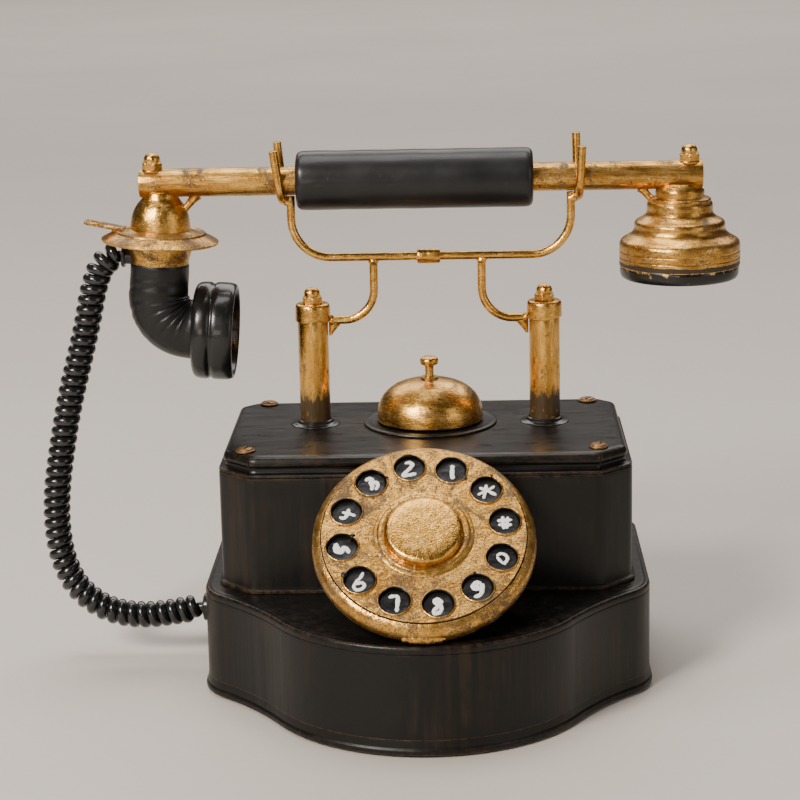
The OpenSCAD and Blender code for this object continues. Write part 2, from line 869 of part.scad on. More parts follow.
module tube_bolts() {
    seat = handset_z + tube_r - 0.3;
    color(gold) for (s = [-1, 1]) {
        x = handset_shift + s * bolt_half;
        difference() {
            union() {
                acorn_nut(x, post_y, seat, 0.5);
                rod_z(166, seat + 2, x, post_y, screw_r);
            }
            rod_x(x - 6, x + 6, post_y, handset_z, tube_r);
        }
        rod_z(166, handset_z + tube_r, x, post_y, screw_r);
    }
}

// Takes the round tube out of what is fixed under it
module tube_saddle() {
    rod_x(-LOTS, LOTS, post_y, handset_z, tube_r + EPS);
}

module bolt_bore(s) {
    rod_z(150, LOTS, handset_shift + s * bolt_half, post_y, screw_r + fit_gap);
}

// A short strut from under the tube, at x0, to the side of the piece that it holds, at x1
module strut(x0, x1, z1) {
    hull() {
        translate([x0, post_y, handset_z - tube_r]) sphere(r = 1.5);
        translate([x1, post_y, z1]) sphere(r = 1.2);
    }
}

// The mouthpiece hangs a little out of square from its tube
module mouth_place() {
    translate([mouth_x, post_y, 172]) rotate([0, mouth_tilt, 0])
        translate([-mouth_x, -post_y, -172]) children();
}

module mouth_dome() {
    outside = [[0, 174], [5.6, 174], [6.4, 171.6], [8.3, 169.6], [9.8, 166.6], [10.6, 162.6],
        [10.8, flange_z + 3.4], [9.4, flange_z + 3.4], [9.2, 162.4], [8, 165.4], [0, 165.4]];
    color(gold) difference() {
        union() {
            mouth_place() translate([mouth_x, post_y, 0]) rotate_extrude() polygon(outside);
            strut(mouth_x + 12.4, mouth_x + 8, 167.6);
        }
        tube_saddle();
        bolt_bore(-1);
    }
}

module mouth_flange() {
    profile = [[6, flange_z], [13.6, flange_z], [19.6, flange_z - 0.8], [20.6, flange_z - 0.8],
        [21, flange_z - 0.3], [21, flange_z + 0.4], [19.6, flange_z + 1.2], [16.7, flange_z + 2.4],
        [16.1, flange_z + 3.2], [15.2, flange_z + 3.3], [14.4, flange_z + 2.9],
        [12, flange_z + 3.4], [6, flange_z + 3.4]];
    color(gold) mouth_place() {
        translate([mouth_x, post_y, 0]) rotate_extrude() polygon(profile);
        translate([mouth_x - 18, post_y - 3, flange_z + 1]) cube([4, 6, 2.3]);
        translate([mouth_x - 14.6, post_y, flange_z + 2.9]) rotate([0, 8, 0]) difference() {
            translate([-13, -4, 0]) cube([13, 8, 1]);
            translate([-8.9, 0, -1]) cylinder(h = 3, r = 1.6);
        }
    }
}

module under_cup() {
    profile = [[12.4, flange_z], [12.2, 154.9], [11, 151], [10.3, elbow_top], [9, elbow_top],
        [9.7, 151], [10.8, 154.9], [10.8, flange_z]];
    color(gold) mouth_place() difference() {
        translate([mouth_x, post_y, 0]) rotate_extrude() polygon(profile);
        rod_x(-LOTS, mouth_x, post_y, handset_gland_z, 2);
    }
}

module handset_gland() {
    color(black) mouth_place() {
        rod_x(handset_gland_x, mouth_x - 12.5, post_y, handset_gland_z, 4.2);
        rod_x(mouth_x - 12.6, mouth_x - 9.2, post_y, handset_gland_z, 2 - EPS);
    }
}

module elbow() {
    bend_z = cup_axis_z + elbow_bend_r;
    color(black) mouth_place() difference() {
        union() {
            rod_z(bend_z, elbow_top, mouth_x, post_y, elbow_r);
            bend_xz(mouth_x + elbow_bend_r, post_y, bend_z, elbow_bend_r, elbow_r, 180);
        }
        rod_z(bend_z, LOTS, mouth_x, post_y, elbow_r - 1.8);
        bend_xz(mouth_x + elbow_bend_r, post_y, bend_z, elbow_bend_r, elbow_r - 1.8, 180);
    }
}

module mouth_cup() {
    profile = [[8.8, 0], [11, 0], [15.8, 0.5], [17.3, 1.8], [17.7, 3.4], [17.7, 6.3], [17.1, 6.7],
        [17.1, 7.5], [17.7, 7.9], [17.7, 14.3], [17.1, 15.3], [16.2, 15.5], [15.5, 14.9],
        [12.1, 8], [12.1, 3.6], [8.8, 3.6]];
    color(black) mouth_place() translate([cup_back_x, post_y, cup_axis_z]) rotate([0, 90, 0])
        rotate_extrude() polygon(profile);
}

module transmitter_capsule() {
    color(black) mouth_place() translate([cup_back_x + 3.6, post_y, cup_axis_z])
        rotate([0, 90, 0]) difference() {
        cylinder(h = 3.6, r = 12.05);
        for (k = [0:7]) {
            rotate([0, 0, k * 45]) translate([7, 0, -1]) cylinder(h = 6, r = 1.1);
        }
        translate([0, 0, -1]) cylinder(h = 6, r = 1.1);
    }
}

module ear_bell() {
    outside = [[0, 174], [6.2, 174], [8.6, 171.4], [8.6, 169], [10.9, 168.5], [11.1, 167.5],
        [11.6, 167], [11.8, 163.4], [12.6, 162.2], [15.2, 160.9], [16.2, 160], [16.3, 158.6],
        [16.6, 157], [17.8, 155.6], [20.4, 154.2], [21.4, 153.2], [21.6, 152.2], [21.6, ear_band_z]];
    inside = [[20, ear_band_z], [20, 151.2], [17, 153.4], [15, 155.4], [14.4, 158], [11, 160.6],
        [9.6, 162], [0, 162]];
    color(gold) difference() {
        union() {
            translate([ear_x, post_y, 0]) rotate_extrude() polygon(concat(outside, inside));
            strut(ear_x - 13.6, ear_x - 10.4, 168.2);
        }
        tube_saddle();
        bolt_bore(1);
    }
}

module ear_cap() {
    profile = [[0, ear_bottom + 1.8], [13.6, ear_bottom + 1.8], [15.8, ear_bottom], [20, ear_bottom],
        [21.2, ear_bottom + 1.2],
        [21.2, ear_band_z], [19.9, ear_band_z], [19.9, 147.2], [18.6, 147.2], [18.6, ear_band_z],
        [0, ear_band_z]];
    color(black) difference() {
        translate([ear_x, post_y, 0]) rotate_extrude() polygon(profile);
        for (k = [0:7]) {
            translate([ear_x, post_y, 0]) rotate([0, 0, k * 45]) translate([8, 0, 130])
                cylinder(h = 40, r = 1.2);
        }
    }
}

module receiver_capsule() {
    color(steel) translate([ear_x, post_y, ear_band_z]) {
        cylinder(h = 1.4, r = 17);
        cylinder(h = 9, r = 13);
    }
}

// ---- Curly cord, drawn as a plain tube over its coils, and its gland ----

module base_gland() {
    color(black) {
        rod_x(-79.1, -74.5, gland_y, gland_z, 4.5);
        rod_x(-81, -79, gland_y, gland_z, 7);
        rod_x(gland_face_x, -80.9, gland_y, gland_z, 5.1);
    }
}

// A smooth point between b and c, for t from 0 to 1
function smooth_point(a, b, c, d, t) =
    0.5 * (2 * b + (c - a) * t + (2 * a - 5 * b + 4 * c - d) * t * t
        + (3 * b - a - 3 * c + d) * t * t * t);

function route_point(p, i) = p[max(0, min(len(p) - 1, i))];

function smooth_route(p, n) = concat(
    [for (i = [0:len(p) - 2]) for (k = [0:n - 1])
        smooth_point(route_point(p, i - 1), p[i], p[i + 1], route_point(p, i + 2), k / n)],
    [p[len(p) - 1]]);

module handset_cord() {
    line = smooth_route(cord_route, cord_rings_per_span);
    last = len(line) - 1;
    rings = [for (i = [0:last])
        let (along = i == 0 || i == last ? [i == 0 ? -1 : 1, 0, 0]
            : unit(line[i + 1] - line[i - 1]))
        let (side = unit(cross([0, 1, 0], along)), up = cross(along, side))
        [for (k = [0:cord_sides - 1]) let (a = 360 * k / cord_sides)
            line[i] + cord_r * (cos(a) * side + sin(a) * up)]];
    color(black) sweep(rings);
}

felt_pad();
base_plate();
plate_screws();
plinth_shell();
plinth_band();
case_shell();
lid();
lid_screws();
post_tubes();
post_washers();
post_springs();
lever_bracket();
lever_pin();
hook_contacts();
ringer_coils();
capacitor();
induction_coil();
terminal_board();
bell_base();
bell_gong();
bell_bush();
bell_spring();
dial_housing();
dial_bezel();
number_plate();
dial_spring();
base_gland();
handset_cord();
collars();
post_nuts();
plunger_rods();
drop_arm(-1);  // drop_arm_left
drop_arm(1);  // drop_arm_right
cradle_rod(-1);  // cradle_rod_left
cradle_rod(1);  // cradle_rod_right
cradle_sleeve();
fork(-1);  // fork_left
fork(1);  // fork_right
hook_lever();
finger_wheel();
dial_cap();
dial_shaft();
drive_gear();
governor();
bell_plunger();
bell_hammer();
handset_tube(-1);  // handset_tube_left
handset_tube(1);  // handset_tube_right
grip();
tube_bolts();
mouth_dome();
mouth_flange();
under_cup();
handset_gland();
elbow();
mouth_cup();
transmitter_capsule();
ear_bell();
ear_cap();
receiver_capsule();
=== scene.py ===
import json
import math
import random

import bmesh
import bpy
from mathutils import Matrix, Vector, noise


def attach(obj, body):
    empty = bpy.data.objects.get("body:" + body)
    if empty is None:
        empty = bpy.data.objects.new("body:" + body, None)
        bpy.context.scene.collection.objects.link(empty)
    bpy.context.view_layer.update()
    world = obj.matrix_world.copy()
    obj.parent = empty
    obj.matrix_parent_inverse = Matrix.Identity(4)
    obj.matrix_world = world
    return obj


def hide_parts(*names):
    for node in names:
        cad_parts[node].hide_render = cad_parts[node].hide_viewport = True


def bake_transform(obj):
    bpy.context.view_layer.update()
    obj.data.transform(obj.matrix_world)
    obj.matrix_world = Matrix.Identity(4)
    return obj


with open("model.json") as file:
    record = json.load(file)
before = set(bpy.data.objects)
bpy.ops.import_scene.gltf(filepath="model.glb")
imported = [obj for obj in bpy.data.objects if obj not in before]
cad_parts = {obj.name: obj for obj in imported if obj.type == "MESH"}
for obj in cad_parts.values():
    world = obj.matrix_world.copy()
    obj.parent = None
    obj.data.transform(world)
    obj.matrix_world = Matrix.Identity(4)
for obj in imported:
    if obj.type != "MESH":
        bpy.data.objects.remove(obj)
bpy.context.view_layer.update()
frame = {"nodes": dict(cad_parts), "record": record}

MM = 0.001
PI = math.pi
scene = bpy.context.scene
nodes = frame["nodes"]

# ---- Sizes shared with the CAD part, in millimetres ----

LID_TOP = 87.3
POST_Y = 31.5
BELL_X = 1.5
POSTS = (-40.5, 43.5)
HANDSET_Z = 177.0
HANDSET_X = -0.6
MOUTH_X = HANDSET_X - 93.2
EAR_X = HANDSET_X + 92.7
BOLTS = (HANDSET_X - 96, HANDSET_X + 96)
DIAL_POS = Vector((0, -48.9, 68.7))
DIAL_TILT = math.radians(39.5)
BAR_Z = 149.0
MOUTH_TILT = math.radians(3.6)


# ---- Camera ----

SENSOR = 36
FOCAL_SHARE = 2292.83 / 800


def place_camera():
    yaw, pitch, roll = (math.radians(a) for a in (1.755, 13.508, -1.208))
    right = Vector((math.cos(yaw), math.sin(yaw), 0))
    ahead = Vector((-math.sin(yaw) * math.cos(pitch), math.cos(yaw) * math.cos(pitch), -math.sin(pitch)))
    up = right.cross(ahead)
    side = math.cos(roll) * right + math.sin(roll) * up
    top = math.cos(roll) * up - math.sin(roll) * right
    data = bpy.data.cameras.new("camera")
    data.sensor_width = SENSOR
    data.lens = FOCAL_SHARE * SENSOR
    data.clip_start = 0.05
    data.clip_end = 20
    camera = bpy.data.objects.new("camera", data)
    scene.collection.objects.link(camera)
    place = Matrix((side, top, -ahead)).transposed().to_4x4()
    place.translation = Vector((15.55, -784.12, 291.71)) * MM
    camera.matrix_world = place
    scene.camera = camera


place_camera()


# ---- Making meshes ----

def basis(axis, hint=None):
    """Two unit vectors across an axis, and the axis."""
    w = Vector(axis).normalized()
    h = Vector(hint) if hint is not None else (Vector((0, 0, 1)) if abs(w.z) < 0.9 else Vector((1, 0, 0)))
    u = (h - w * h.dot(w)).normalized()
    return u, w.cross(u), w


class Build:
    """Collects points and faces in millimetres, from one or more shapes, for one piece."""

    def __init__(self):
        self.points = []
        self.faces = []
        self.kinds = []
        self.flats = []

    def add(self, points, faces, kind=0, flats=()):
        first = len(self.points)
        self.flats += [len(self.faces) + i for i in flats]
        self.points += [Vector(p) for p in points]
        self.faces += [tuple(first + i for i in f) for f in faces]
        self.kinds += [kind] * len(faces)
        return self

    def rings(self, rings, close=False, caps=(True, True), kind=0):
        """Skin through rings of points; a ring of one point is a pole."""
        points = []
        faces = []
        starts = []
        for ring in rings:
            starts.append(len(points))
            points += ring
        pairs = [(i, i + 1) for i in range(len(rings) - 1)]
        if close:
            pairs.append((len(rings) - 1, 0))
        for a, b in pairs:
            na, nb = len(rings[a]), len(rings[b])
            sa, sb = starts[a], starts[b]
            for k in range(max(na, nb)):
                j = (k + 1) % max(na, nb)
                if na == 1 and nb == 1:
                    continue
                if na == 1:
                    faces.append((sa, sb + j, sb + k))
                elif nb == 1:
                    faces.append((sa + k, sa + j, sb))
                else:
                    faces.append((sa + k, sa + j, sb + j, sb + k))
        if not close:
            if caps[0] and len(rings[0]) > 2:
                faces.append(tuple(range(starts[0] + len(rings[0]) - 1, starts[0] - 1, -1)))
            if caps[1] and len(rings[-1]) > 2:
                faces.append(tuple(range(starts[-1], starts[-1] + len(rings[-1]))))
        return self.add(points, faces, kind)

    def lathe(self, profile, at=(0, 0, 0), axis=(0, 0, 1), hint=None, steps=96, close=False, wobble=0.0,
              seed=0.0, kind=0):
        """Turns a profile of (radius, height) about an axis. A closed profile has no poles."""
        u, v, w = basis(axis, hint)
        at = Vector(at)
        rings = []
        for r, h in profile:
            if r < 1e-4:
                rings.append([at + w * h])
                continue
            ring = []
            for k in range(steps):
                a = 2 * PI * k / steps
                d = math.cos(a) * u + math.sin(a) * v
                q = r
                if wobble:
                    spot = d * (1.2 + r * 0.1) + w * h * 0.12
                    q += wobble * noise.noise(spot + Vector((seed,) * 3))
                ring.append(at + d * q + w * h)
            rings.append(ring)
        return self.rings(rings, close=close, kind=kind)

    def tube(self, path, radius, sides=20, hint=None, kind=0, ends=True, squash=1.0):
        """A round bar along a path; radius is a number or a function of the share of its length."""
        path = [Vector(p) for p in path]
        n = len(path)
        rings = []
        u = None
        for i, p in enumerate(path):
            along = (path[min(n - 1, i + 1)] - path[max(0, i - 1)]).normalized()
            if u is None:
                u, v, _ = basis(along, hint)
            else:
                u = (u - along * u.dot(along)).normalized()
                v = along.cross(u)
            r = radius(i / (n - 1)) if callable(radius) else radius
            turns = [2 * PI * k / sides for k in range(sides)]
            rings.append([p + r * (math.cos(a) * u + squash * math.sin(a) * v) for a in turns])
        return self.rings(rings, caps=(ends, ends), kind=kind)

    def tilt(self):
        """Leans the shape as the mouthpiece leans."""
        pivot = Vector((MOUTH_X, POST_Y, 172))
        turn = Matrix.Rotation(MOUTH_TILT, 3, "Y")
        self.points = [pivot + turn @ (p - pivot) for p in self.points]
        return self

    def object(self, name, materials, angle=38.0):
        mesh = bpy.data.meshes.new(name)
        mesh.from_pydata([p * MM for p in self.points], [], self.faces)
        for m in materials:
            mesh.materials.append(m)
        mesh.polygons.foreach_set("material_index", self.kinds)
        shape = bmesh.new()
        shape.from_mesh(mesh)
        bmesh.ops.recalc_face_normals(shape, faces=shape.faces)
        shape.to_mesh(mesh)
        shape.free()
        mesh.shade_smooth()
        mesh.set_sharp_from_angle(angle=math.radians(angle))
        for i in self.flats:
            mesh.polygons[i].use_smooth = False
        obj = bpy.data.objects.new(name, mesh)
        scene.collection.objects.link(obj)
        return obj


def soften(points, r, n=3, closed=False):
    """Rounds the corners of an outline; r is one size, or one for each point."""
    out = []
    m = len(points)
    for i, p in enumerate(points):
        q = r[i] if hasattr(r, "__len__") else r
        if (not closed and i in (0, m - 1)) or q <= 0:
            out.append(tuple(p))
            continue
        a, b, c = Vector(points[i - 1]), Vector(p), Vector(points[(i + 1) % m])
        la, lc = (a - b).length, (c - b).length
        if la < 1e-6 or lc < 1e-6:
            out.append(tuple(p))
            continue
        da = (a - b) / la * min(q, la * 0.46)
        dc = (c - b) / lc * min(q, lc * 0.46)
        for k in range(n + 1):
            t = k / n
            out.append(tuple(b + da * (1 - t) ** 2 + dc * t ** 2))
    return out


def spline(points, n):
    """A smooth line through the points, as in the CAD part: n steps to each span."""
    p = [Vector(q) for q in points]
    out = []
    for i in range(len(p) - 1):
        a, b, c, d = p[max(0, i - 1)], p[i], p[i + 1], p[min(len(p) - 1, i + 2)]
        for k in range(n):
            t = k / n
            out.append(0.5 * (2 * b + (c - a) * t + (2 * a - 5 * b + 4 * c - d) * t * t
                              + (3 * b - a - 3 * c + d) * t ** 3))
    out.append(p[-1])
    return out


def spaced(path, step):
    """Points along a path at even steps."""
    out = [path[0].copy()]
    left = step
    for a, b in zip(path, path[1:]):
        d = (b - a).length
        pos = 0.0
        while d - pos >= left:
            pos += left
            out.append(a.lerp(b, pos / d))
            left = step
        left -= d - pos
    return out


def age(obj, gain=2.2, blur=1):
    """Stores how far each point stands out, for the wear of its paint, and how far it lies in a hollow, for
    painted shade there.
    """
    import numpy as np
    mesh = obj.data
    nv, ne = len(mesh.vertices), len(mesh.edges)
    co = np.zeros(nv * 3)
    mesh.vertices.foreach_get("co", co)
    co = co.reshape(-1, 3)
    no = np.zeros(nv * 3)
    mesh.vertices.foreach_get("normal", no)
    no = no.reshape(-1, 3)
    ends = np.zeros(ne * 2, int)
    mesh.edges.foreach_get("vertices", ends)
    ends = ends.reshape(-1, 2)
    d = co[ends[:, 1]] - co[ends[:, 0]]
    length = np.maximum(np.linalg.norm(d, axis=1), 1e-9)
    total = np.zeros(nv)
    count = np.zeros(nv)
    for i, sign in ((0, 1), (1, -1)):
        bend = (no[ends[:, i]] * d).sum(1) * sign / length
        np.add.at(total, ends[:, i], bend)
        np.add.at(count, ends[:, i], 1)
    bend = total / np.maximum(count, 1)
    for _ in range(blur):
        near = np.zeros(nv)
        np.add.at(near, ends[:, 0], bend[ends[:, 1]])
        np.add.at(near, ends[:, 1], bend[ends[:, 0]])
        bend = 0.5 * bend + 0.5 * near / np.maximum(count, 1)
    # The second value drives painted shade: the looks darken the hollows with it.
    for name, values in (("edge", -bend), ("hollow_shade", bend)):
        layer = mesh.attributes.new(name, "FLOAT", "POINT")
        layer.data.foreach_set("value", np.clip(values * gain, 0, 1).astype(np.float32))
    return obj


def cut(obj, *cutters):
    """Takes the cutters out of a piece for good."""
    for c in cutters:
        m = obj.modifiers.new("cut", "BOOLEAN")
        m.operation = "DIFFERENCE"
        m.solver = "EXACT"
        m.object = c
    bpy.context.view_layer.update()
    done = obj.evaluated_get(bpy.context.evaluated_depsgraph_get())
    mesh = bpy.data.meshes.new_from_object(done)
    obj.modifiers.clear()
    obj.data = mesh
    for c in cutters:
        bpy.data.objects.remove(c)
    return obj


def place(obj, body, slot, *replaced):
    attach(obj, body)
    if replaced:
        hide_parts(*replaced)
    return obj


def put(shape, name, look, body, slot, *replaced, angle=38.0, gain=2.2, blur=1):
    """Makes the piece from its shape, ages it and places it on its body."""
    return place(age(shape.object(name, [look], angle), gain, blur), body, slot, *replaced)


# ---- Materials ----

class Look:
    """A node material around one Principled shader, with short ways to add nodes."""

    def __init__(self, name, **plain):
        self.mat = bpy.data.materials.new(name)
        self.mat.use_nodes = True
        self.tree = self.mat.node_tree
        self.tree.nodes.clear()
        out = self.tree.nodes.new("ShaderNodeOutputMaterial")
        self.shader = self.tree.nodes.new("ShaderNodeBsdfPrincipled")
        self.tree.links.new(self.shader.outputs["BSDF"], out.inputs["Surface"])
        self.coord = self.tree.nodes.new("ShaderNodeTexCoord").outputs["Object"]
        for k, v in plain.items():
            self.shader.inputs[k.replace("_", " ")].default_value = v

    def set(self, socket, value):
        if isinstance(value, bpy.types.NodeSocket):
            self.tree.links.new(value, socket)
        elif hasattr(value, "__len__") and len(value) == 3 and socket.type == "RGBA":
            socket.default_value = (*value, 1)
        else:
            socket.default_value = value

    def math(self, op, a, b=0.0, clamp=False):
        n = self.tree.nodes.new("ShaderNodeMath")
        n.operation = op
        n.use_clamp = clamp
        self.set(n.inputs[0], a)
        self.set(n.inputs[1], b)
        return n.outputs[0]

    def stretch(self, scale, turn=(0, 0, 0), vector=None):
        n = self.tree.nodes.new("ShaderNodeMapping")
        self.set(n.inputs["Vector"], vector or self.coord)
        n.inputs["Scale"].default_value = scale
        n.inputs["Rotation"].default_value = turn
        return n.outputs[0]

    def noise(self, scale, detail=3.0, rough=0.55, warp=0.0, vector=None):
        n = self.tree.nodes.new("ShaderNodeTexNoise")
        self.set(n.inputs["Vector"], vector or self.coord)
        for k, v in (("Scale", scale), ("Detail", detail), ("Roughness", rough), ("Distortion", warp)):
            n.inputs[k].default_value = v
        return n.outputs["Fac"]

    def span(self, value, a, b, lo=0.0, hi=1.0, smooth=False):
        n = self.tree.nodes.new("ShaderNodeMapRange")
        if smooth:
            n.interpolation_type = "SMOOTHSTEP"
        self.set(n.inputs["Value"], value)
        for k, v in (("From Min", a), ("From Max", b), ("To Min", lo), ("To Max", hi)):
            n.inputs[k].default_value = v
        return n.outputs["Result"]

    def mix(self, share, a, b, kind="MIX"):
        n = self.tree.nodes.new("ShaderNodeMix")
        n.data_type = "RGBA"
        n.blend_type = kind
        self.set(n.inputs[0], share)
        self.set(n.inputs[6], a)
        self.set(n.inputs[7], b)
        return n.outputs[2]

    def attribute(self, name):
        n = self.tree.nodes.new("ShaderNodeAttribute")
        n.attribute_name = name
        return n.outputs["Fac"]

    def along(self, axis):
        n = self.tree.nodes.new("ShaderNodeSeparateXYZ")
        self.set(n.inputs[0], self.coord)
        return n.outputs[axis]

    def bump(self, height, strength, depth, below=None):
        n = self.tree.nodes.new("ShaderNodeBump")
        self.set(n.inputs["Height"], height)
        n.inputs["Strength"].default_value = strength
        n.inputs["Distance"].default_value = depth
        if below is not None:
            self.set(n.inputs["Normal"], below)
        return n.outputs["Normal"]

    def color(self, value):
        self.set(self.shader.inputs["Base Color"], value)

    def rough(self, value):
        self.set(self.shader.inputs["Roughness"], value)

    def metal(self, value):
        self.set(self.shader.inputs["Metallic"], value)

    def normal(self, value):
        self.set(self.shader.inputs["Normal"], value)


def gold_look(name, patina=0.5, grain=(1, 1, 1), low=None, band=None, streaks=0.3, bright=1.0):
    """Antique gold paint: fine speckle, brushed tone, dark patches, painted shade in the hollows and worn
    bright edges.

    low is a height in mm below which the patina gets heavy, band one below which black paint laps up."""
    s = Look(name)
    tone = s.noise(42, 4, 0.6, 0.4)
    streak = s.noise(640, 4, 0.65, 0.3, s.stretch(grain))
    fine = s.noise(1900, 2, 0.6)
    worn = min(1.0, patina / 0.6)
    base = s.mix(s.span(tone, 0.32, 0.68), tuple(bright * (a + (b - a) * worn) for a, b in
                                                 ((0.60, 0.38), (0.30, 0.172), (0.055, 0.028))),
                 (0.72 * bright, 0.385 * bright, 0.083 * bright))
    base = s.mix(s.span(streak, 0.46, 0.72), base, (0.94 * bright, 0.57 * bright, 0.160 * bright))
    patch = s.noise(95, 6, 0.7, 1.0)
    near = s.span(patch, 0.54 - 0.14 * patina, 0.68 - 0.12 * patina)
    speck = s.span(s.math("ADD", fine, s.math("MULTIPLY", near, 0.16)), 0.665 - 0.08 * patina,
                   0.72 - 0.08 * patina)
    lines = s.math("MULTIPLY", s.span(s.noise(1100, 4, 0.7, 0.2, s.stretch(grain)), 0.55, 0.66), streaks)
    pick = s.math("MULTIPLY", s.span(patch, 0.62 - 0.10 * patina, 0.70 - 0.10 * patina),
                  s.span(streak, 0.30, 0.52))
    # Painted shade: the hollows are darkened, standing in for the shade that falls there.
    hollow_shade = s.math("MULTIPLY", s.attribute("hollow_shade"), s.span(s.noise(420, 3), 0.22, 0.5), True)
    dark = s.math("MAXIMUM", s.math("MULTIPLY", speck, 0.85), lines)
    dark = s.math("MAXIMUM", dark, s.math("MULTIPLY", pick, 0.9))
    dark = s.math("MAXIMUM", dark, hollow_shade)
    if band is not None:
        line = s.math("ADD", s.along(2), s.math("MULTIPLY", s.noise(110, 4, 0.6), -0.0022))
        dark = s.math("MAXIMUM", dark, s.span(line, (band - 0.95) * MM, (band - 1.1) * MM))
    if low is not None:
        grime = s.span(s.along(2), low * MM, (low - 17) * MM)
        drip = s.noise(330, 5, 0.7, 0.5, s.stretch((1, 1, 0.28)))
        ragged = s.span(s.math("ADD", grime, drip), 0.70, 0.90)
        dark = s.math("MAXIMUM", dark, s.math("MULTIPLY", ragged, 0.97))
        glint = s.math("MULTIPLY", s.span(s.noise(520, 3, 0.6, 0.4), 0.60, 0.66), s.span(grime, 0.62, 0.9))
        dark = s.math("MULTIPLY", dark, s.math("SUBTRACT", 1.0, glint))
    color = s.mix(s.math("MULTIPLY", dark, 0.97), base, (0.012, 0.0065, 0.003))
    edge = s.span(s.math("MULTIPLY", s.attribute("edge"), s.noise(700, 2)), 0.15, 0.42)
    color = s.mix(s.math("MULTIPLY", edge, 0.6), color, (1.0, 0.62, 0.20))
    s.color(color)
    s.rough(s.span(s.math("ADD", s.math("MULTIPLY", dark, 0.6), s.math("MULTIPLY", streak, 0.4)), 0.1, 0.9,
                   0.20 + 0.08 * patina, 0.50))
    s.metal(s.span(dark, 0.15, 0.9, 1.0, 0.0))
    s.normal(s.bump(fine, 0.22, 0.0004, s.bump(streak, 0.30, 0.0006)))
    return s.mat


def black_look(name, wear=0.5, streaks=(1, 1, 0.06), rough=(0.30, 0.50), brown=1.0, fine=0.15):
    """Satin black paint over brown: brush streaks, rubbed brown areas and worn bright edges."""
    s = Look(name, Coat_Weight=0.05, Coat_Roughness=0.25, Specular_IOR_Level=0.26)
    brush = s.noise(300, 4, 0.62, 0.3, s.stretch(streaks))
    cloud = s.noise(24, 4, 0.6, 0.5)
    rubbed = s.math("MULTIPLY", s.span(cloud, 0.42, 0.7), s.span(brush, 0.46, 0.66))
    color = s.mix(s.math("MULTIPLY", rubbed, 0.75 * brown, True), (0.0042, 0.0038, 0.0034),
                  (0.034, 0.0195, 0.010))
    edge = s.span(s.math("MULTIPLY", s.attribute("edge"), s.span(s.noise(520, 4, 0.7), 0.3, 0.66)), 0.10, 0.5)
    edge = s.math("MULTIPLY", edge, wear, True)
    color = s.mix(edge, color, (0.125, 0.075, 0.036))
    s.color(color)
    s.rough(s.span(s.math("ADD", brush, s.math("MULTIPLY", edge, -0.4)), 0.3, 0.75, rough[0], rough[1]))
    s.metal(s.math("MULTIPLY", edge, 0.5))
    grit = s.noise(1400, 2)
    s.normal(s.bump(grit, fine, 0.0003, s.bump(brush, 0.12, 0.0006)))
    return s.mat


def gloss_look(name, rough=0.2, coat=0.5, peel=0.25, tint=(0.0048, 0.0047, 0.0048), wear=0.3, gilt=None):
    """Thick black lacquer with soft ripples, fine dust and a few scuffs."""
    s = Look(name, Coat_Weight=coat, Coat_Roughness=0.14, Specular_IOR_Level=0.30)
    cloud = s.noise(55, 4, 0.6, 0.3)
    scuff = s.noise(260, 5, 0.75, 1.2)
    worn = s.math("MULTIPLY", s.span(scuff, 0.62, 0.72), wear)
    edge = s.math("MULTIPLY", s.span(s.math("MULTIPLY", s.attribute("edge"), s.noise(650, 3)), 0.16, 0.5),
                  wear)
    worn = s.math("MAXIMUM", worn, edge, True)
    color = s.mix(s.span(cloud, 0.3, 0.7), tint, tuple(c * 1.7 for c in tint))
    color = s.mix(worn, color, (0.075, 0.060, 0.046))
    if gilt:
        near = s.span(s.along(2), (gilt[0] - gilt[1]) * MM, gilt[0] * MM)
        splash = s.span(s.math("ADD", s.noise(330, 4, 0.7, 0.5), s.math("MULTIPLY", near, 0.16)), 0.66, 0.72)
        color = s.mix(splash, color, (0.55, 0.33, 0.11))
        s.metal(s.math("MULTIPLY", splash, 0.85))
    s.color(color)
    s.rough(s.span(s.math("ADD", cloud, s.math("MULTIPLY", worn, 0.4)), 0.25, 0.9, rough, rough + 0.22))
    s.normal(s.bump(s.noise(170, 2), peel, 0.0008, s.bump(s.noise(1500, 2), 0.06, 0.0003)))
    return s.mat


def cord_look():
    s = Look("cord_sheath", Coat_Weight=0.35, Coat_Roughness=0.15)
    cloud = s.noise(90, 3, 0.6)
    dust = s.span(s.noise(900, 4, 0.7), 0.6, 0.78)
    s.color(s.mix(s.math("MULTIPLY", dust, 0.35), (0.008, 0.008, 0.0085), (0.05, 0.048, 0.045)))
    s.rough(s.span(cloud, 0.3, 0.7, 0.16, 0.30))
    s.normal(s.bump(cloud, 0.2, 0.0006, s.bump(s.noise(1200, 2), 0.05, 0.0003)))
    return s.mat


def metal_look(name, a, b, rough=(0.25, 0.45), metallic=1.0, scale=400, bump=0.15):
    """A plain metal, wire or enamel with cloudy tone, fine lines, specks and painted shade in its hollows."""
    s = Look(name, Metallic=metallic)
    cloud = s.noise(45, 4, 0.6, 0.4)
    lines = s.noise(scale, 3, 0.6, 0.1, s.stretch((1, 1, 0.12)))
    speck = s.span(s.noise(1600, 2), 0.62, 0.72)
    color = s.mix(s.span(s.math("MULTIPLY", s.math("ADD", cloud, lines), 0.5), 0.32, 0.68), a, b)
    # Painted shade: the hollows are darkened, standing in for the shade that falls there.
    dark = s.math("MAXIMUM", s.math("MULTIPLY", s.attribute("hollow_shade"), 0.6), s.math("MULTIPLY", speck, 0.45))
    s.color(s.mix(dark, color, tuple(c * 0.3 for c in a)))
    s.rough(s.span(lines, 0.3, 0.7, rough[0], rough[1]))
    s.normal(s.bump(lines, bump, 0.0004))
    return s.mat


